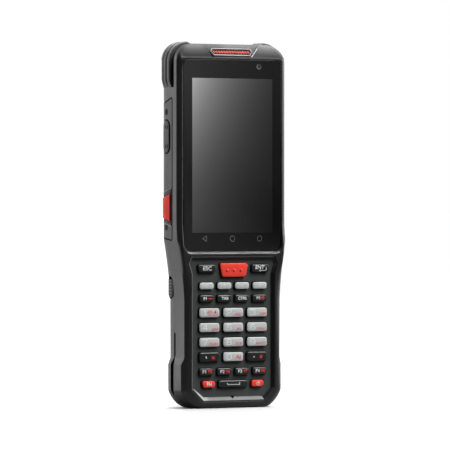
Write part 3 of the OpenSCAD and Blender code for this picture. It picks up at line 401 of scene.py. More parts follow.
def rounded(points, radius, steps=4):
    """An anticlockwise polygon with rounded corners, each with the same number of points."""
    out = []
    for a, b, c in corners_of(points):
        u, v = (a - b).normalized(), (c - b).normalized()
        half = acos(max(-1, min(1, u.dot(v)))) / 2
        reach = min(radius / tan(half), 0.49 * min((a - b).length, (c - b).length))
        centre = b + (u + v).normalized() * (reach / cos(half))
        start, end = b + u * reach - centre, b + v * reach - centre
        a0, a1 = atan2(start.y, start.x), atan2(end.y, end.x)
        turn = (a1 - a0 + pi) % (2 * pi) - pi
        for k in range(steps + 1):
            a = a0 + turn * k / steps
            out.append(centre + start.length * Vector((cos(a), sin(a))))
    return out


def inset(points, d):
    """Moves every edge of an anticlockwise polygon inwards by d."""
    out = []
    for a, b, c in corners_of(points):
        u, v = (b - a).normalized(), (c - b).normalized()
        m, k = Vector((-u.y, u.x)), Vector((-v.y, v.x))
        out.append(b + (m + k) * (d / (1 + m.dot(k))))
    return out


def cut_up(points, count):
    """The same closed outline with every side cut into as many parts as count says for its length."""
    out = []
    for a, b in sides_of(points):
        parts = count((b - a).length)
        out += [a + (b - a) * k / parts for k in range(parts)]
    return out


def box_points(x0, z0, x1, z1):
    return [(x0, z0), (x1, z0), (x1, z1), (x0, z1)]


def box_about(x, z, half_x, half_z):
    return box_points(x - half_x, z - half_z, x + half_x, z + half_z)


def at_depth(points, y, x=0.0, z=0.0):
    return [(p[0] + x, y, p[1] + z) for p in points]


def loft(rings, bm=None, material=0, closed=False):
    """Joins rings of points, in millimetres, into a tube with its ends capped, or joined if closed."""
    bm = bm or bmesh.new()
    rows = [[bm.verts.new(Vector(p) * mm) for p in ring] for ring in rings + (rings[:1] if closed else [])]
    n = len(rows[0])
    for low, high in zip(rows, rows[1:]):
        for j in range(n):
            bm.faces.new((low[j], low[(j + 1) % n], high[(j + 1) % n], high[j])).material_index = material
    for row in () if closed else (rows[0], rows[-1]):
        bm.faces.new(row).material_index = material
    return bm


def rod(bm, start, end, radius, sides=16, material=0):
    turn = (Vector(end) - Vector(start)).to_track_quat("Z", "Y")
    loft([[Vector(at) + turn @ Vector((*p, 0)) for p in circle(radius, sides)] for at in (start, end)],
         bm, material)


def turned(profile, sides=32, bm=None, y=0.0, closed=False):
    """A turned shape from (radius, height) pairs, about a line along Z."""
    return loft([[(*p, h) for p in circle(r, sides, 0, y)] for r, h in profile], bm, closed=closed)


def rib(radius, half, tip, flat=1.0, sink=0.0, power=4, parts=6, sides=8):
    """A half-round rib along its second axis, narrowed at its ends."""
    rows = []
    for k in range(parts + 1):
        t = 2 * k / parts - 1
        r = radius * sqrt(max(tip, 1 - t ** power))
        rows.append([(r * cos(v), half * t, r * flat * sin(v) - sink)
                     for v in (pi * j / sides for j in range(sides + 1))])
    return loft(rows)


def smooth_faces(bm, sharp):
    """Joins what touches, turns the faces outwards and smooths all but the sharp edges."""
    bmesh.ops.remove_doubles(bm, verts=bm.verts, dist=0.0004 * mm)
    bmesh.ops.recalc_face_normals(bm, faces=bm.faces)
    for face in bm.faces:
        face.smooth = True
    for edge in bm.edges:
        edge.smooth = len(edge.link_faces) == 2 and edge.calc_face_angle(0) <= radians(sharp)


def finished(name, mesh, body, replaces=None):
    """Lets a finished mesh ride on a body, in the place of a CAD node where one is named."""
    thing = bpy.data.objects.new(name, mesh)
    scene.collection.objects.link(thing)
    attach(thing, body)
    if replaces:
        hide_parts(replaces)


def piece(name, bm, materials, body="body", replaces=None, sharp=32):
    smooth_faces(bm, sharp)
    mesh = bpy.data.meshes.new(name)
    bm.to_mesh(mesh)
    bm.free()
    for material in materials.split():
        mesh.materials.append(finishes[material])
    finished(name, mesh, body, replaces)


def size_of(node):
    """Lowest and highest corner of a CAD node, in millimetres."""
    low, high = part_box(node)
    return low / mm, high / mm


def middle_of(node):
    low, high = size_of(node)
    return (low + high) / 2


# ------------ what repeats

def set_out_tree():
    """Sets a copy of the part at every marked point, turned as the point says, with a little chance turn."""
    tree, add, source = geometry_tree("set_out", Material="Material", Chance_turn="Float", Seed="Int")
    spot = add("GeometryNodeInputNamedAttribute", {"Name": "spot"}, data_type="BOOLEAN")
    turn = add("GeometryNodeInputNamedAttribute", {"Name": "turn"}, data_type="FLOAT_VECTOR")
    split = add("GeometryNodeSeparateGeometry", {"Geometry": source["Geometry"],
                                                 "Selection": spot.outputs["Attribute"]}).outputs
    chance = add("FunctionNodeRandomValue", {"Seed": source["Seed"]}, data_type="FLOAT")
    most = source["Chance turn"]
    for label, end in (("Min", add("ShaderNodeMath", {0: most, 1: -1}, operation="MULTIPLY")), ("Max", most)):
        feed(tree, next(s for s in chance.inputs if s.name == label and s.type == "VALUE"), end)
    about = add("ShaderNodeCombineXYZ", {"Z": next(s for s in chance.outputs if s.type == "VALUE")})
    turns = [add("FunctionNodeEulerToRotation", {0: euler}) for euler in (turn.outputs["Attribute"], about)]
    both = add("FunctionNodeRotateRotation", dict(enumerate(turns)), rotation_space="LOCAL")
    copies = add("GeometryNodeInstanceOnPoints", {
        "Points": add("GeometryNodeMeshToPoints", {"Mesh": split["Selection"]}),
        "Instance": split["Inverted"], "Rotation": both})
    real = add("GeometryNodeRealizeInstances", {0: copies})
    add("NodeGroupOutput", {0: add("GeometryNodeSetMaterial", {"Geometry": real,
                                                               "Material": source["Material"]})})
    return tree


set_out = set_out_tree()


def set_out_parts(name, bm, spots, material, body="body", replaces=None, sharp=32, chance=0.0,
                  seed=1):
    """Sets out copies of a part built round the origin, facing +Z. A spot is (place, way, roll)."""
    smooth_faces(bm, sharp)
    mark, turn = bm.verts.layers.bool.new("spot"), bm.verts.layers.float_vector.new("turn")
    for place, way, roll in spots:
        vert = bm.verts.new(Vector(place) * mm)
        vert[mark] = True
        own = Matrix.Rotation(roll, 3, "Z").to_quaternion()
        vert[turn] = Vector((Vector(way).to_track_quat("Z", "Y") @ own).to_euler())
    mesh = bpy.data.meshes.new(name + "_spots")
    bm.to_mesh(mesh)
    bm.free()
    maker = bpy.data.objects.new(name + "_maker", mesh)
    scene.collection.objects.link(maker)
    modifier = maker.modifiers.new("set_out", "NODES")
    modifier.node_group = set_out
    for label, value in (("Material", finishes[material]), ("Chance turn", chance), ("Seed", seed)):
        modifier[socket_names(set_out)[label]] = value
    made = bpy.data.meshes.new_from_object(maker.evaluated_get(bpy.context.evaluated_depsgraph_get()))
    bpy.data.objects.remove(maker)
    bpy.data.meshes.remove(mesh)
    made.name = name
    for label in ("spot", "turn"):
        if label in made.attributes:
            made.attributes.remove(made.attributes[label])
    finished(name, made, body, replaces)


def rib_roll(way, along):
    """Turn about the way out that lays a part's second axis along a direction."""
    base = Vector(way).to_track_quat("Z", "Y")
    along = Vector(along).normalized()
    return atan2(-along.dot(base @ Vector((1, 0, 0))), along.dot(base @ Vector((0, 1, 0))))


# ------------ keys

KEY_COLLAR = 0.5
KEY_R = 1.3
PLATE_BACK = -9.6
CAP_FRONT = -12.7
PLUNGER_R = 1.1
# How much a cap is cut off at its foot, left and right
SLANTS = {"key_esc": (0.8, 0), "key_enter": (0, 0.8), "key_scan": (1.7, 1.7),
          "key_fn": (1.3, 0), "key_power": (0, 1.3)}
# How far the face of a cap reaches beyond its stem, left and right
OVERHANG = {"key_esc": (0.3, 0.7), "key_scan": (0.1, 1.0), "key_enter": (0.0, 1.1)}
# How the top of a cap rises towards its middle: distance from the edge, depth
CROWN = [(0.65, CAP_FRONT + 0.12), (0.95, CAP_FRONT + 0.06), (1.3, CAP_FRONT + 0.02), (1.7, CAP_FRONT)]
# One of the three bumps on the scan key: radius, height
BUMP = ((0.82, 0), (0.8, 0.16), (0.68, 0.32), (0.48, 0.43), (0.26, 0.49), (0.08, 0.51))


def key_shape(name):
    low, high = size_of(name)
    left, right = SLANTS.get(name, (0, 0))
    w, h = (high.x - low.x) / 2 - KEY_COLLAR, (high.z - low.z) / 2 - KEY_COLLAR
    centre = ((low.x + high.x) / 2, (low.z + high.z) / 2)
    return centre, [(-w + left, -h), (w - right, -h), (w, h), (-w, h)], high.y


def face_shape(name, shape):
    left, right = OVERHANG.get(name, (0, 0))
    return [(x - left if x < 0 else x + right, z) for x, z in shape]


def crown_depth(shape, x, z):
    """Depth of a cap's top at a place on it."""
    away = []
    for a, b in sides_of(shape):
        u = (b - a).normalized()
        away.append(Vector((-u.y, u.x)).dot(Vector((x, z)) - a))
    d = min(away)
    for (d0, y0), (d1, y1) in zip(CROWN, CROWN[1:]):
        if d < d1:
            return y0 + (y1 - y0) * max(0, d - d0) / (d1 - d0)
    return CROWN[-1][1]


def key_cap(name):
    (x, z), shape, plunger_end = key_shape(name)
    face = face_shape(name, shape)

    def ring(d, y, r=KEY_R, outline=shape):
        return at_depth(rounded(inset(outline, d), r, 5), y, x, z)

    rings = [ring(-KEY_COLLAR, PLATE_BACK + 0.5, KEY_R + 0.5), ring(-KEY_COLLAR, PLATE_BACK, KEY_R + 0.5),
             ring(0, PLATE_BACK), ring(0, CAP_FRONT + 1.7)]
    if name in OVERHANG:
        rings += [ring(0, CAP_FRONT + 1.15), ring(0.05, CAP_FRONT + 1.08, outline=face)]
    for a in quarter(6):
        rings.append(ring(0.15 + 0.5 * (1 - cos(a)), CAP_FRONT + 0.62 - 0.5 * sin(a), outline=face))
    rings += [ring(d, y, 1.0, face) for d, y in CROWN[1:]]
    bm = loft(rings)
    # The walls behind the cap's top edge take the second finish, a darker copy as painted shade
    for part in bm.faces:
        if part.calc_center_median().y > (CAP_FRONT + 0.55) * mm:
            part.material_index = 1
    rod(bm, (x, PLATE_BACK + 0.3, z), (x, plunger_end, z), PLUNGER_R, material=1)
    if name == "key_scan":
        for k in (-1, 0, 1):
            loft([at_depth(circle(r, 16, x + 0.45 + 4.45 * k, z - 0.1), CAP_FRONT + 0.03 - rise)
                  for r, rise in BUMP], bm)
    finish = NODE_FINISH[name]
    wall_shade = " skirt_red" if finish == "key_red" else " skirt_black"
    piece("cap_" + name[4:], bm, finish + wall_shade, body=name, replaces=name)


for name in KEYS:
    key_cap(name)


# ------------ legends

WHITE, RED = 0, 1
INK_T = 0.02


class Legend:
    """What is printed on one key, in the key's own millimetres, laid on its crowned top."""

    def __init__(self, key):
        self.key = "key_" + key
        self.centre, shape, _ = key_shape(self.key)
        self.shape = face_shape(self.key, shape)
        self.bm = bmesh.new()
        self.strokes = 0

    def ink_from(self, known, ink):
        self.bm.faces.ensure_lookup_table()
        for face in self.bm.faces[known:]:
            face.material_index = ink
        return self

    def letters(self, text, size, x=0.0, z=0.0, ink=WHITE, bold=0.04, wide=1.0, slant=0.0, align="CENTER"):
        curve = bpy.data.curves.new("letters", "FONT")
        curve.body = text
        curve.size = size
        curve.offset = bold
        curve.shear = slant
        curve.extrude = INK_T
        curve.resolution_u = 2
        curve.align_x, curve.align_y = align, "CENTER"
        thing = bpy.data.objects.new("letters", curve)
        scene.collection.objects.link(thing)
        mesh = bpy.data.meshes.new_from_object(thing.evaluated_get(bpy.context.evaluated_depsgraph_get()))
        start, known = len(self.bm.verts), len(self.bm.faces)
        self.bm.from_mesh(mesh)
        self.bm.verts.ensure_lookup_table()
        for vert in self.bm.verts[start:]:
            vert.co = (x + vert.co.x * wide, -vert.co.z, z + vert.co.y)
        bpy.data.objects.remove(thing)
        bpy.data.curves.remove(curve)
        bpy.data.meshes.remove(mesh)
        return self.ink_from(known, ink)

    def plate(self, points, ink=WHITE):
        """A filled flat mark. Each lies a little over the last, so that no two faces coincide."""
        known = len(self.bm.faces)
        self.strokes += 1
        front, back = ([self.bm.verts.new((p[0], y, p[1])) for p in points]
                       for y in (-INK_T - 0.002 * self.strokes, INK_T))
        self.bm.faces.new(front)
        self.bm.faces.new(back[::-1])
        for a, b, c, d in zip(front, back, back[1:] + back[:1], front[1:] + front[:1]):
            self.bm.faces.new((a, b, c, d))
        return self.ink_from(known, ink)

    def line(self, points, width, ink=WHITE, closed=False):
        """A line of even width through the points."""
        for a, b in sides_of(points)[:None if closed else -1]:
            u = (b - a).normalized() * width / 2
            s = Vector((-u.y, u.x))
            self.plate([a - u - s, b + u - s, b + u + s, a - u + s], ink)
        return self

    def digit(self, number):
        for stroke in DIGITS[number]:
            self.line([(1.45 * x - 2.9, 1.45 * z) for x, z in stroke], 0.4)
        return self

    def print(self):
        # Cut the marks up, so that they follow the crown
        for axis, reach, step in ((0, 5.5, 1.1), (2, 2.2, 0.4)):
            for k in range(-int(reach / step), int(reach / step) + 1):
                place, way = Vector(), Vector()
                place[axis], way[axis] = k * step + 0.013, 1
                bmesh.ops.bisect_plane(self.bm, geom=self.bm.verts[:] + self.bm.edges[:] + self.bm.faces[:],
                                       dist=1e-6, plane_co=place, plane_no=way)
        for vert in self.bm.verts:
            x, y, z = vert.co
            depth = crown_depth(self.shape, x, z) - 0.012
            vert.co = Vector((x + self.centre[0], depth + y, z + self.centre[1])) * mm
        for face in self.bm.faces:
            face.smooth = False
        bmesh.ops.recalc_face_normals(self.bm, faces=self.bm.faces)
        mesh = bpy.data.meshes.new("legend_" + self.key[4:])
        self.bm.to_mesh(mesh)
        self.bm.free()
        for ink in ("ink_white", "ink_red"):
            mesh.materials.append(finishes[ink])
        finished(mesh.name, mesh, self.key)


# Digits as strokes on a grid 2 wide and 2 high, from their middle
DIGITS = {
    0: [[(-1, 0.6), (-0.6, 1), (0.6, 1), (1, 0.6), (1, -0.6), (0.6, -1), (-0.6, -1), (-1, -0.6), (-1, 0.6)]],
    1: [[(-0.5, 0.7), (0, 1), (0, -1)]],
    2: [[(-1, 0.6), (-0.6, 1), (0.6, 1), (1, 0.65), (1, 0.35), (0.7, 0.05), (-0.6, -0.25), (-1, -0.6),
         (-1, -1), (1, -1)]],
    3: [[(-0.9, 1), (0.6, 1), (1, 0.7), (1, 0.3), (0.6, 0.05), (-0.3, 0.05)],
        [(0.6, 0.05), (1, -0.3), (1, -0.7), (0.6, -1), (-0.9, -1)]],
    4: [[(0.5, -1), (0.5, 1), (0.3, 1), (-1, -0.4), (1, -0.4)]],
    5: [[(0.9, 1), (-0.8, 1), (-0.9, 0.1), (0.5, 0.2), (1, -0.1), (1, -0.6), (0.6, -1), (-0.9, -1)]],
    6: [[(0.8, 1), (-0.4, 1), (-1, 0.5), (-1, -0.6), (-0.6, -1), (0.6, -1), (1, -0.6), (1, -0.2), (0.6, 0.15),
         (-1, 0.15)]],
    7: [[(-1, 1), (1, 1), (-0.3, -1)]],
    8: [[(-0.6, 0.05), (-0.9, 0.4), (-0.9, 0.7), (-0.5, 1), (0.5, 1), (0.9, 0.7), (0.9, 0.4), (0.6, 0.05),
         (-0.6, 0.05), (-1, -0.3), (-1, -0.7), (-0.6, -1), (0.6, -1), (1, -0.7), (1, -0.3), (0.6, 0.05)]],
    9: [[(-0.8, -1), (0.4, -1), (1, -0.5), (1, 0.6), (0.6, 1), (-0.6, 1), (-1, 0.6), (-1, 0.2), (-0.6, -0.15),
         (1, -0.15)]],
}
GROUPS = {2: "ABC", 3: "DEF", 4: "GHI", 5: "JKL", 6: "MNO", 7: "PQRS", 8: "TUV", 9: "WXYZ"}


def print_legends():
    Legend("esc").letters("ESC", 3.2, 0.4, bold=0.06, wide=1.06).print()
    (Legend("enter").letters("ENT", 2.8, -0.4, 0.5, bold=0.06, wide=1.1, slant=0.15)
     .line([(3.9, 0.6), (3.9, -1.25), (0.2, -1.25)], 0.32)
     .plate([(-0.9, -1.25), (0.2, -1.85), (0.2, -0.65)]).print())
    for key, angle in (("left", 180), ("up", 90), ("down", 270), ("right", 0)):
        turns = [radians(angle) + t for t in (0, 2.2, -2.2)]
        Legend(key).line([(cos(t) * 1.1, sin(t) * 1.1) for t in turns], 0.16, closed=True).print()
    Legend("p1").letters("P1", 2.3, -1.0, wide=1.1).line([(1.0, 0), (3.0, 0)], 0.55, RED).print()
    (Legend("p2").letters("P2", 2.3, -1.0, wide=1.1).line([(1.0, 0), (3.0, 0)], 0.5, RED)
     .line([(2.0, -0.95), (2.0, 0.95)], 0.5, RED).print())
    Legend("tab").letters("TAB", 2.4, 0.2, bold=0.06).print()
    Legend("ctrl").letters("CTRL", 2.35, 0.1, bold=0.06, wide=1.05).print()
    for number, group in GROUPS.items():
        bold, wide = 0.0 if "M" in group else 0.025, 1.05 if "W" in group else 1.22
        mark = Legend(str(number)).digit(number)
        mark.letters(group, 2.05, 5.4, -1.0, RED, bold, wide, 0.3, "RIGHT").print()
    (Legend("1").digit(1)
     .line([(-0.5, -1.2), (-0.5, 0.2), (-1.3, 0.2), (0.1, 1.4), (1.5, 0.2), (0.7, 0.2), (0.7, -1.2)],
           0.34, RED, closed=True)
     .plate([(3.3, 1.3), (4.0, 1.3), (4.0, 0.4), (4.7, 0.4), (3.65, -0.7), (2.6, 0.4), (3.3, 0.4)], RED)
     .line([(2.2, -0.3), (2.2, -1.2), (5.1, -1.2), (5.1, -0.3)], 0.3, RED).print())
    Legend("0").digit(0).letters("Aa", 3.1, 3.0, -0.2, RED, 0.06, slant=0.2).print()
    Legend("comma").letters(",", 4.6, -2.2, 1.1, bold=0.1).letters("*", 5.2, 2.3, -1.4, RED, 0.04).print()
    Legend("dot").letters(".", 5.0, -2.2, 1.0, bold=0.12).letters("#", 2.6, 2.4, -0.1, RED, 0.1).print()
    for number in (1, 2, 3, 4):
        (Legend(f"f{number}").letters(f"F{number}", 2.6, -1.5, bold=0.05, wide=1.12)
         .letters(f"F{number + 4}", 2.6, 2.1, ink=RED, bold=0.05, wide=1.05).print())
    Legend("fn").letters("FN", 2.7, 0.4, bold=0.07).print()
    arc = [radians(29 * k - 235) for k in range(11)]
    (Legend("power").line([(cos(t) - 0.1, sin(t) - 0.25) for t in arc], 0.3)
     .line([(-0.1, -0.05), (-0.1, 1.15)], 0.3).print())
    Legend("space").line([(-4.1, 0.45), (-3.7, -0.35), (3.9, -0.35), (3.9, 0.75)], 0.32).print()


print_legends()


# ------------ screen

GLASS_LOW, GLASS_HIGH = size_of("touch_glass")
GLASS_SHAPE = box_points(GLASS_LOW.x, GLASS_LOW.z, GLASS_HIGH.x, GLASS_HIGH.z)
GLASS_EDGE = 0.35
GLASS_R = 4.5


def screen_glass():
    """Cover glass with a polished edge; its border and display area are printed behind it, under a painted
    reflection.
    """
    rings = [at_depth(rounded(GLASS_SHAPE, GLASS_R, 8), GLASS_HIGH.y)]
    for a in quarter(5):
        d = GLASS_EDGE * (1 - cos(a))
        rings.append(at_depth(rounded(inset(GLASS_SHAPE, d), GLASS_R - d, 8),
                              GLASS_LOW.y + GLASS_EDGE * (1 - sin(a))))
    piece("cover_glass", loft(rings), "screen_face", replaces="touch_glass", sharp=40)


def screen_marks():
    """Navigation marks printed at the foot of the glass, and the window of the front camera."""
    front, z = GLASS_LOW.y - 0.012, GLASS_LOW.z + 7.3
    bm = bmesh.new()
    for outline, width in (([(-19.4, z), (-16.7, z - 1.55), (-16.7, z + 1.55)], 0.34),
                           (circle(1.5, 32, 0, z), 0.34),
                           (rounded(box_about(17.55, z, 1.35, 1.35), 0.9, 4), 0.24)):
        out, inner = inset(outline, -width / 2), inset(outline, width / 2)
        loft([at_depth(out, front + 0.03), at_depth(out, front), at_depth(inner, front),
              at_depth(inner, front + 0.03)], bm, closed=True)
    piece("navigation_marks", bm, "print_grey", sharp=20)
    bm = bmesh.new()
    lens = middle_of("front_camera")
    for k, (radius, back, face) in enumerate(((1.62, 0.03, 0), (0.95, 0, -0.006), (0.5, -0.006, -0.01))):
        loft([at_depth(circle(radius, 32, lens.x, lens.z), front + y) for y in (back, face)], bm, k)
    piece("front_camera_window", bm, "camera_ring camera_iris lens_black", sharp=20)


screen_glass()
screen_marks()


# ------------ sides

FRONT, BACK = -13.0, 13.0
HEAD_HALF, BODY_H = 35.0, 204.0
REAR_R, CORNER_R = 11.0, 9.8
CORNER = Vector((HEAD_HALF - CORNER_R, 194.2))
# The corner bumpers' three strips
STRIP_START, STRIP_PITCH, STRIP_W, STRIP_R = -3.64, 3.9, 3.3, 0.55
STRIP_LOW, STRIP_HIGH = 0.55, 1.3
# Keys and panels in the sides: place and size in depth and height
KEY_PROUD, KEY_FOOT = 0.55, 32.6
ROCKER_Y, ROCKER_Z = 1.86, 152.0
TRIGGER_Y, TRIGGER_REAR = -3.04, 7.56
TRIGGER_LOW, TRIGGER_HIGH = 104.5, 120.1
TRIGGER_SHAPE = [(TRIGGER_Y, TRIGGER_LOW), (TRIGGER_REAR, TRIGGER_LOW + 1.9),
                 (TRIGGER_REAR, TRIGGER_HIGH - 2.4), (TRIGGER_Y, TRIGGER_HIGH)]
PANEL_SHAPE = [(-4.64, 94.0), (7.96, 95.6), (7.96, 169.4), (-4.64, 174.0)]
# The ring round each dimple of the rocker: radius, height
DIMPLE = ((1.5, -0.1), (1.45, 0.12), (1.25, 0.28), (1.0, 0.28), (0.75, 0.06), (0.7, -0.08))


def side_drop(y, out=0.0):
    """How far the side of the head has turned in at a depth, as it rounds towards the back."""
    start = BACK - REAR_R
    r = REAR_R + out
    return 0.0 if y <= start else r - sqrt(max(0.0, r * r - (y - start) ** 2))


def side_key(name, cap_name, outline, radius, side, materials, edge, dimples=()):
    """A key in the side of the head. Its face follows the side and has a rounded edge."""
    def face_x(y):
        return HEAD_HALF + KEY_PROUD - side_drop(y, KEY_PROUD)

    def ring(d, sunk):
        return [(side * (face_x(p.x) - sunk), p.x, p.y)
                for p in rounded(inset(outline, d), max(0.2, radius - d), 6)]

    ys, zs = zip(*outline)
    reach = min(max(ys) - min(ys), max(zs) - min(zs)) / 2
    rings = [[(side * KEY_FOOT, p.x, p.y) for p in rounded(outline, radius, 6)]]
    rings += [ring(edge * (1 - cos(a)), edge * (1 - sin(a))) for a in quarter(6)]
    rings += [ring(max(edge + 0.05, reach * share), 0.0) for share in (0.3, 0.5, 0.7, 0.85)]
    bm = loft(rings)
    for y, z in dimples:
        loft([[(side * (face_x(y) + rise), *p) for p in circle(r, 20, y, z)] for r, rise in DIMPLE], bm)
    # A trigger's front edge takes the second finish, a darker red as painted shade
    if len(materials.split()) > 1:
        for face in bm.faces:
            if face.calc_center_median().y / mm < min(ys) + 0.75 * edge:
                face.material_index = 1
    piece(cap_name, bm, materials, body=name, replaces=name, sharp=50)


def rocker_shape(gap=0.0):
    return box_about(ROCKER_Y, ROCKER_Z, 3.8 + gap, 9.05 + gap), 3.79 + gap


def side_keys():
    side_key("volume_rocker", "volume_rocker_cap", *rocker_shape(), -1, "key_side", 0.6,
             ((1.0, ROCKER_Z + 5.4), (1.0, ROCKER_Z - 5.4)))
    for side, name in ((-1, "left_scan_trigger"), (1, "right_scan_trigger")):
        side_key(name, name + "_cap", TRIGGER_SHAPE, 1.2, side, "trigger_red skirt_red", 0.8)


def bumper_height(y):
    """Height of a bumper's three rounded strips above its seat, across its width."""
    k = min(2, int((y - STRIP_START) / STRIP_PITCH))
    place = y - STRIP_START - k * STRIP_PITCH
    if place > STRIP_PITCH - 0.6 or place < 0:
        return STRIP_LOW
    edge, r = min(place, STRIP_W - place), STRIP_R
    return STRIP_HIGH if edge >= r else STRIP_HIGH - r + sqrt(max(0, r * r - (r - edge) ** 2))


def top_bumper(bm, side):
    """A soft corner of three strips, from the side of the head round to its top."""
    z_end, x_end = size_of("top_bumpers")[0].z, HEAD_HALF - 13.0
    stations = [(Vector((HEAD_HALF, z_end + (CORNER.y - z_end) * k / 9)), Vector((1, 0)), 0.0)
                for k in range(9)]
    for k in range(25):
        a = pi / 2 * k / 24
        way = Vector((cos(a), sin(a)))
        stations.append((CORNER + CORNER_R * way, way, a))
    for k in range(1, 7):
        stations.append((Vector((CORNER.x + (x_end - CORNER.x) * k / 6, BODY_H)), Vector((0, 1)), pi / 2))
    across = (-0.02, 0, 0.08, 0.22, 0.55, 1.65, 2.75, 3.08, 3.22, 3.3, 3.32)
    ys = sorted(STRIP_START + STRIP_PITCH * k + e for k in range(3) for e in across)[1:-1]
    rings = []
    for at, way, a in stations:
        taper = min(1.0, (at.y - z_end) / 4.0) if a < 0.01 else 1.0
        taper = min(taper, (at.x - x_end) / 2.6) if a > pi / 2 - 0.01 else taper
        low_ribs = 0.22 * min(1, a / 0.15, (pi / 2 - a) / 0.15) if 0 < a < pi / 2 else 0.0
        heights = [(bumper_height(y) - low_ribs) * max(0.0, taper) - side_drop(y, STRIP_HIGH) * cos(a)
                   for y in ys]
        ring = []
        for y, h in [*zip(ys, heights), (ys[-1], -1.15), (ys[0], -1.15)]:
            spot = at + way * h
            ring.append((side * spot.x, y, spot.y))
        rings.append(ring)
    loft(rings, bm)


def corner_ribs():
    """Fine slanted ribs round the corner of each bumper strip."""
    spots = []
    for strip in range(3):
        y = STRIP_START + STRIP_PITCH * strip + STRIP_W / 2
        for k in range(15):
            a = pi / 2 * (k + 0.6) / 15.2
            reach = CORNER_R + 1.05 - side_drop(y, STRIP_HIGH) * cos(a)
            for side in (-1, 1):
                way = Vector((side * cos(a), 0, sin(a)))
                place = (side * (CORNER.x + reach * cos(a)), y, CORNER.y + reach * sin(a))
                spots.append((place, way, rib_roll(way, (side * sin(a), -1.0, -cos(a)))))
    set_out_parts("corner_bumper_ribs", rib(0.34, 1.75, 0.03, 0.8, 0.05, sides=6), spots, "rubbed_rubber")


side_keys()
bumpers = bmesh.new()
for side in (-1, 1):
    top_bumper(bumpers, side)
piece("corner_bumpers", bumpers, "bumper_rubber", replaces="top_bumpers", sharp=40)


# ------------ edges that catch the light

PLATE_FACE = -10.79


def front_depth(z):
    """Depth of the housing's front along its height."""
    t = min(1, max(0, (z - 86.3) / 19.7))
    return FRONT + 1.5 * (1 - cos(pi * t)) / 2


def bead(bm, path, step, thick):
    """A fine round moulding along a closed path of (x, z), level with the housing's front."""
    path = cut_up(path, lambda length: max(1, ceil(length / step)))
    rings = []
    for a, b, c in corners_of(path):
        way = (c - a).normalized()
        r = thick(b.y)
        rings.append([(b.x - way.y * p, front_depth(b.y) + r - q, b.y + way.x * p) for p, q in circle(r, 10)])
    loft(rings, bm, closed=True)


def glass_edges():
    """A dark seal over the top of the glass, and a light trim under its foot that also paints the lip's
    highlight.
    """
    arch = [p for p in rounded(GLASS_SHAPE, GLASS_R, 8) if p.y > GLASS_HIGH.z - 3.2]
    arch.sort(key=lambda p: p.x)
    rows = []
    for a, b, c in zip(arch[:1] + arch, arch, arch[1:] + arch[-1:]):
        way = (c - a).normalized()
        rows.append([(b.x - way.y * p, front_depth(b.y) + 0.35 - 1.05 * q, b.y + 0.05 + way.x * p)
                     for p, q in circle(0.4, 12)])
    piece("glass_top_seal", loft(rows), "gap_black", sharp=60)
    # The lip's light trim paints the highlight along the foot of the glass
    rows = []
    y, z = front_depth(86.2) + 0.02, GLASS_LOW.z - 0.2
    for t in (k / 30 - 1 for k in range(61)):
        tall = min(1.0, (1 - abs(t)) * 7 + 0.1)
        section = ((1.3, 0), (0.86, 0), (0, 1.15), (0.25, 1.2), (1.3, 0.6))
        rows.append([((GLASS_HIGH.x - 1.5) * t, y + dy, z - drop * tall) for dy, drop in section])
    piece("glass_lip_trim", loft(rows), "trim_light", sharp=30)


def along(shape, section, order, radius=0.6):
    """Cross-sections of a strip that follows part of an outline; the section gives insets and depths."""
    rings = [rounded(inset(shape, d), radius if d > 0 or radius < 1 else radius - d, 5) for d, y in section]
    return [[(ring[k].x, y, ring[k].y) for ring, (d, y) in zip(rings, section)] for k in order]


def keypad_edges():
    """The rim and sill of the keypad's recess, with painted light on both, a dark lining of painted shade on
    its walls, and the microphone's notch in the sill.
    """
    low, high = size_of("keypad_plate")
    half, foot, top = 25.4, low.z, high.z
    left = [(-half - 0.7, top), (-half - 1.9, top - 2.6), (-half, top - 8), (-half, foot + 6),
            (-half + 6, foot)]
    shape = left[-1:] + [(-x, z) for x, z in left[::-1]] + left[:-1]
    beads = bmesh.new()
    seat = box_points(GLASS_LOW.x - 0.3, GLASS_LOW.z - 0.3, GLASS_HIGH.x + 0.3, GLASS_HIGH.z + 0.3)
    bead(beads, rounded(seat, 4.8, 10), 1.5, lambda z: 0.22 if z < GLASS_HIGH.z - 2 else 0.03)
    bead(beads, rounded(inset(shape, -1.5), 1.2, 5), 2.0, lambda z: 0.58)
    # The beads' colour paints light on them, and shade along the right side
    piece("rim_beads", beads, "rim_plastic", sharp=60)

    count = 6 * len(shape)
    wide = ((-0.55, FRONT + 0.02), (1.1, FRONT + 1.15), (1.35, FRONT + 1.45), (1.35, PLATE_FACE),
            (1.2, -10.6), (-0.5, FRONT + 0.5))
    narrow = ((-0.55, FRONT + 0.02), (-0.2, FRONT + 0.3), (0.0, FRONT + 0.5), (0.0, PLATE_FACE),
              (-0.1, -10.6), (-0.5, FRONT + 0.5))
    # The sill's colour paints light on its lower left
    sill = along(shape, narrow, range(count - 4, count)) + along(shape, wide, range(2, 10))
    piece("keypad_sill", loft(sill), "sill_plastic", sharp=25)
    step = ((-1.42, FRONT + 0.02), (-0.52, FRONT + 0.01), (-0.4, FRONT + 1.0), (-1.35, FRONT + 0.5))
    piece("keypad_sill_step", loft(along(shape, step, [k % count for k in range(count - 5, count + 18)])),
          "shell_plastic", sharp=25)
    notch = [at_depth([(-1.0, 6.8), (0.75, 6.8), (-0.1, 5.2)], y) for y in (-12.3, PLATE_FACE)]
    piece("microphone_notch", loft(notch), "gap_black")
    # A dark lining of painted shade on the recess's sides and top
    wall = ((-1.3, FRONT + 0.25), (0.0, -10.82), (0.3, -10.82), (-1.15, FRONT + 0.22))
    piece("keypad_gasket", loft(along(shape, wall, range(10, 58), 1.2)), "gasket_rubber",
          sharp=40)


glass_edges()
keypad_edges()


# ------------ screws

PANEL_SCREWS = size_of("side_panel_screws")


def panel_screw_spots(proud):
    low, high = PANEL_SCREWS
    return [((side * (high.x + proud), (low.y + high.y) / 2, z), (side, 0, 0), 0.0)
            for side in (-1, 1) for z in (low.z + 1.65, high.z - 1.65)]


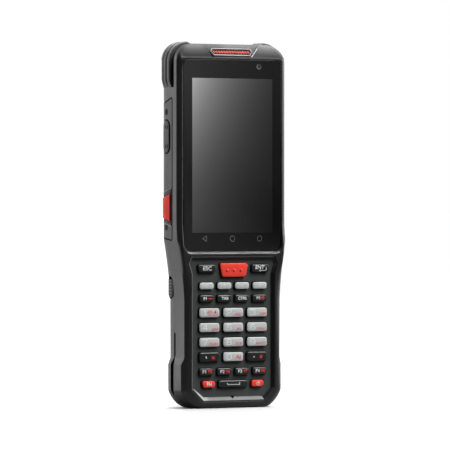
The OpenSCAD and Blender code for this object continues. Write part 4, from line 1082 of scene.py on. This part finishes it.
def panel_screws():
    """Flat screw heads with a rounded edge, and their shanks."""
    bm = turned([(0.02, -1.0), (1.55, -1.0), (1.62, -0.9), (1.62, -0.2), (1.55, -0.06), (1.35, 0.0),
                 (0.02, 0.0)], 40)
    turned([(0.02, -3.6), (0.8, -3.6), (0.85, -3.4), (0.85, -1.0), (0.02, -1.0)], 20, bm)
    set_out_parts("side_panel_screw_heads", bm, panel_screw_spots(0.02), "screw_black",
                  replaces="side_panel_screws", chance=0.12, seed=4)


def screw_drives():
    """The two driving holes of each side screw, with their pins."""
    holes, pins = bmesh.new(), bmesh.new()
    for s in (-1, 1):
        # The two holes overlap, so one lies a little over the other
        rise = 0.004 * s
        turned([(0.02, -0.3), (0.88, -0.3), (0.88, 0.02 + rise), (0.36, 0.02 + rise), (0.34, -0.05 + rise),
                (0.02, -0.05)], 28, holes, 0.76 * s)
        turned([(0.02, -0.2), (0.32, -0.2), (0.32, 0.03), (0.26, 0.06), (0.02, 0.06)], 20, pins, 0.76 * s)
    for vert in holes.verts[:] + pins.verts[:]:
        vert.co.x *= 1.55
    spots = panel_screw_spots(0.03)
    set_out_parts("side_screw_drives", holes, spots, "gap_black")
    set_out_parts("side_screw_pins", pins, spots, "panel_plastic")


def housing_screws():
    """Pan heads with a six-lobed drive, and their shanks."""
    low, high = size_of("housing_screws")
    length, radius, sides = high.y - 4 - low.y, 0.95, 40
    head = ((0.02, -1.62), (1.85, -1.62), (1.9, -1.55), (1.9, -0.55), (1.8, -0.3), (1.55, -0.1), (1.2, -0.01),
            (1.1, 0.0))
    waves = [0.72 + 0.17 * cos(12 * pi * k / sides) for k in range(sides)]
    lobed = [(x * wave, y * wave) for (x, y), wave in zip(circle(1, sides), waves)]
    rings = [(circle(r, sides), z) for r, z in head] + [(lobed, 0.0), (lobed, -0.7)]
    bm = loft([[(*p, z) for p in ring] for ring, z in rings])
    turned([(0.02, -length), (radius * 0.8, -length), (radius, -length + 0.4), (radius, -1.6),
            (0.02, -1.6)], 20, bm)
    places = ((20, high.y, 194.5), (19.5, high.y, 88), (28.3, high.y - 4, 15))
    spots = [((side * x, y, z), (0, 1, 0), 0.3) for x, y, z in places for side in (-1, 1)]
    set_out_parts("housing_screw_set", bm, spots, "screw_steel", replaces="housing_screws", chance=1.5,
                  seed=11)


# ------------ status light

# The brow's slope, as depth and height, and how far up it the light sits
BROW_DEEP, BROW_TALL, LIGHT_SHARE = 3.8, 7.6, 0.42
BROW_TILT = atan(BROW_DEEP / BROW_TALL)
LIGHT_AT = Vector((0, -11.5 + BROW_DEEP * LIGHT_SHARE ** 1.3, 196.4 + LIGHT_SHARE * BROW_TALL))
BROW_TURN = Matrix.Rotation(-BROW_TILT, 3, "X")


def on_brow(bm):
    """Moves what was built flat, in x, depth and height, onto the sloped brow."""
    for vert in bm.verts:
        vert.co = BROW_TURN @ vert.co + LIGHT_AT * mm
    return bm


def light_ring(y, radius, grow=0.0, d=0.0):
    w, h = 12.9 + grow, 1.65 + grow
    right = [(w - 0.9 * h, -h), (w, 0.15 * h), (w - 0.5 * h, h)]
    shape = [(-right[0][0], -h)] + right + [(-x, z) for x, z in right[:0:-1]]
    return at_depth(rounded(inset(shape, d), radius, 4), y)


def status_light():
    lens = [light_ring(y, radius, d=d)
            for y, radius, d in ((1.68, 0.5, 0), (0.75, 0.5, 0), (0.63, 0.5, 0.12), (0.6, 0.4, 0.4))]
    piece("status_light_body", on_brow(loft(lens)), "light_red", replaces="status_light_lens")

    # Slanted half-round ribs across the face of the lens, coloured light red as a painted highlight
    lean = radians(42)
    out = BROW_TURN @ Vector((0, -1, 0))
    roll = rib_roll(out, BROW_TURN @ Vector((-sin(lean), 0, cos(lean))))
    spots = [(BROW_TURN @ Vector((1.72 * (k - 6.5), 0.62, 0)) + LIGHT_AT, out, roll) for k in range(14)]
    set_out_parts("status_light_ribs", rib(0.5, 0.98, 0.04, 0.9), spots, "light_rib")

    section = ((0.62, 1.35), (0.62, 0.05), (0.56, -0.03), (0.42, -0.06), (0.2, 0.0), (0.08, 0.15),
               (0.06, 0.6), (0.06, 1.35))
    trim = loft([light_ring(y, 0.5 + grow, grow) for grow, y in section], closed=True)
    piece("status_light_trim", on_brow(trim), "bezel_silver", replaces="status_light_bezel", sharp=45)


def light_pocket_edges():
    """Painted shade in the left corner of the light's pocket, and a painted highlight along its right side.
    """
    foot, top = Vector((12.15, 0, -3.2)), Vector((16.6, 0, 2.6))
    corner_shade = loft([[(-p.x + dx, y, p.z) for dx, y in ((-0.1, 0.0), (1.0, 0.66), (0.6, 1.0), (-0.1, 1.0))]
                 for p in (foot, top)])
    piece("light_pocket_seal", on_brow(corner_shade), "gap_black")
    edge = bmesh.new()
    rod(edge, foot + Vector((0.05, 0.1, 0)), top + Vector((0.9, 0.1, 0)), 0.26)
    piece("light_pocket_edge", on_brow(edge), "trim_light")


# ------------ joints in the sides

def on_side(points, side, out):
    """Points given as depth and height, laid on the side of the head."""
    return [(side * (HEAD_HALF - side_drop(p[0]) + out), p[0], p[1]) for p in points]


def fine_outline(shape, radius):
    """A rounded outline with its long sides cut up, to follow a curved face."""
    return cut_up(rounded(shape, radius, 6), lambda length: 8 if length > 1.2 else 1)


def side_band(bm, near, far, side, low, high):
    """A closed band on the side of the head between two outlines."""
    loft([on_side(near, side, low), on_side(near, side, high), on_side(far, side, high),
          on_side(far, side, low)], bm, closed=True)


def side_joints():
    """Dark gaps round the side panels and the rocker."""
    bm = bmesh.new()
    panel = [fine_outline(inset(PANEL_SHAPE, -gap), 1.0 + gap) for gap in (-0.35, 0.45)]
    for side in (-1, 1):
        side_band(bm, *panel, side, -0.3, 0.04)
    side_band(bm, *(rounded(*rocker_shape(gap), 6) for gap in (0.25, 0.7)), -1, -0.4, 0.03)
    piece("side_joints", bm, "gap_black", sharp=30)


def slit_edges():
    """Painted shadow along the front edge of the slit above each cradle groove."""
    bm = bmesh.new()
    shell, seam = bpy.data.objects["front_housing"], size_of("front_housing")[1].y
    for side in (-1, 1):
        rows = []
        for z in (29.2 + 13 * k / 11 for k in range(12)):
            spots = [(y, shell.ray_cast(Vector((side * 50, y, z)) * mm, Vector((-side, 0, 0)))[1].x / mm)
                     for y in (seam - 1.25, seam - 0.45)]
            rows.append([(x + side * out, y, z)
                         for (y, x), out in zip(spots + spots[::-1], (0.05, 0.05, -0.2, -0.2))])
        loft(rows, bm)
    piece("slit_edges", bm, "gap_black", sharp=30)


def trigger_scoops():
    """The scoops above and below the triggers, with a raised edge coloured light as a painted highlight, and
    a strip of painted shade in front.
    """
    front_shades, scoops, edges = bmesh.new(), bmesh.new(), bmesh.new()
    front, rear, low, high = TRIGGER_Y, TRIGGER_REAR, TRIGGER_LOW, TRIGGER_HIGH
    scoop = [(front - 1.0, low - 2.7), (rear + 0.35, low - 0.08), (rear + 0.35, high - 0.1),
             (front - 1.0, high + 3.35)]
    strip = [(front - 1.0, low - 2.3), (front - 0.1, low - 1.6), (front - 0.1, high + 2.2),
             (front - 1.0, high + 2.9)]
    hole, rim = fine_outline(inset(TRIGGER_SHAPE, -0.1), 1.3), fine_outline(scoop, 1.1)
    for side in (-1, 1):
        loft([on_side(hole, side, -1.75), on_side(hole, side, -1.65), on_side(rim, side, 0.02),
              on_side(rim, side, -0.15)], scoops, closed=True)
        for start, end in ((scoop[3], scoop[2]), (scoop[0], scoop[1])):
            line = [Vector(start) + (Vector(end) - Vector(start)) * k / 8 for k in range(9)]
            loft([[(side * (HEAD_HALF - side_drop(p.x) + c - 0.08), p.x, p.y + s) for c, s in circle(0.3, 10)]
                  for p in line], edges)
        # A black strip of painted shade in front of the trigger
        loft([on_side(strip, side, -0.3), on_side(strip, side, 0.06)], front_shades)
    piece("trigger_front_seals", front_shades, "gap_black", sharp=40)
    piece("trigger_scoops", scoops, "scoop_grey", sharp=40)
    piece("trigger_scoop_edges", edges, "scoop_edge", sharp=60)


def battery_latch():
    """A ribbed slider, with a black lining of painted shade in its recess."""
    y, z = 3.6, 67.1
    face, inside, end = -31.35, -28.7, size_of("battery_latch")[1].x
    stadium = rounded(box_about(y, z, 2.6, 5.2), 2.59, 8)
    bm = loft([[(x, p.x, p.y) for p in inset(stadium, d)]
               for d, x in ((0, inside), (0, face + 0.25), (0.15, face + 0.05), (0.4, face))])
    loft([[(x, *p) for p in box_about(y, z, 1.2, 2)] for x in (inside - 0.1, end)], bm)
    piece("battery_latch_slider", bm, "skirt_black", body="battery_latch", replaces="battery_latch")
    way = (-1, 0, 0)
    spots = [((face + 0.05, y, z + 1.75 * (k - 2.5)), way, rib_roll(way, (0, 1, 0))) for k in range(6)]
    set_out_parts("battery_latch_ribs", rib(0.52, 2.0, 0.05, sink=0.1, power=6, parts=8), spots, "key_black",
                  "battery_latch")
    # Painted shade: a black lining round the slider in its recess
    outer = rounded(box_points(y - 3.2, z - 5.9, y + 3.2, z + 7.3), 3.19, 8)
    lining = [[(x, p.x, p.y) for p in inset(outer, d)]
              for x, d in ((-28.55, 0.03), (-30.95, 0.03), (-30.95, 0.28), (-28.75, 0.28))]
    piece("battery_latch_recess", loft(lining, closed=True), "gap_black", sharp=40)


panel_screws()
housing_screws()
status_light()
light_pocket_edges()
corner_ribs()
side_joints()
slit_edges()
trigger_scoops()
screw_drives()
battery_latch()


# ------------ back, top and base

def rear_camera_parts():
    """The camera's ring, cover glass and lens, and the flash beside it."""
    back = (0, 1, 0)
    camera = [((-11, 12.5, 172), back, 0.0)]
    ring = turned([(4.6, 0.35), (4.6, 0.52), (4.45, 0.62), (4.1, 0.62), (3.85, 0.5), (3.85, 0.35)], 48,
                  closed=True)
    set_out_parts("rear_camera_ring", ring, camera, "trim_light", sharp=60)
    glass = turned([(0.02, 0.0), (3.15, 0.0), (3.15, 0.16), (3.05, 0.22), (2.0, 0.22), (1.85, 0.08),
                    (0.02, 0.08)], 48)
    set_out_parts("rear_camera_glass", glass, camera, "lens_black", sharp=50)
    lens = turned([(0.02, 0.02), (1.62, 0.02), (1.62, 0.12), (1.5, 0.2), (1.2, 0.31), (0.8, 0.38),
                   (0.4, 0.42), (0.02, 0.43)], 40)
    set_out_parts("rear_camera_lens", lens, camera, "coated_lens", sharp=50)
    steps = [p for k in range(6) for p in ((1.85 - 0.3 * k, 0.02), (1.7 - 0.3 * k, 0.1))]
    flash = turned([(0.02, -0.1), (1.95, -0.1), (1.95, 0.06)] + steps + [(0.02, 0.1)], 40)
    set_out_parts("flash_lens", flash, [((0, 12.9, 172), back, 0.0)], "flash_cream", sharp=25)


def speaker_grille():
    """Fine wires across each of the speaker's slots."""
    y, z = size_of("speaker")[1].y + 0.2, middle_of("speaker").z
    bm = bmesh.new()
    rod(bm, (-0.75, 0, 0), (0.75, 0, 0), 0.13, 8)
    spots = [((2.2 * k, y, z + 0.62 * n), (0, 1, 0), 0.0) for k in range(-3, 4) for n in range(-6, 7)]
    set_out_parts("speaker_wires", bm, spots, "screw_steel", chance=0.06, seed=7)


def window_frame():
    """A dark frame round the scan window."""
    low, high = size_of("scan_window")
    outline = box_points(low.x, low.y, high.x, high.y)
    rows = [[(p.x, p.y, high.z + rise) for p in rounded(inset(outline, d), 0.5, 3)]
            for d, rise in ((-0.12, -0.1), (-0.12, 0.2), (0.1, 0.24), (0.75, 0.02), (0.75, -0.1))]
    piece("scan_window_frame", loft(rows, closed=True), "gap_black", sharp=30)


def contact_tips():
    """Rounded tips on the charging contacts, each in a small moulded ring."""
    spots = [((x, -4, size_of("charging_contacts")[0].z), (0, 0, -1), 0.0) for x in (-8, -4, 0, 4, 8)]
    tip = turned([(0.02, -0.4), (0.84, -0.4), (0.84, -0.02), (0.6, 0.1), (0.3, 0.15), (0.02, 0.16)])
    set_out_parts("contact_tips", tip, spots, "contact_gold", sharp=50)
    ring = turned([(1.15, -0.3), (1.15, 0.22), (1.0, 0.26), (0.92, 0.2), (0.9, -0.3)], closed=True)
    set_out_parts("contact_rings", ring, spots, "gap_black", sharp=50)


rear_camera_parts()
speaker_grille()
window_frame()
contact_tips()
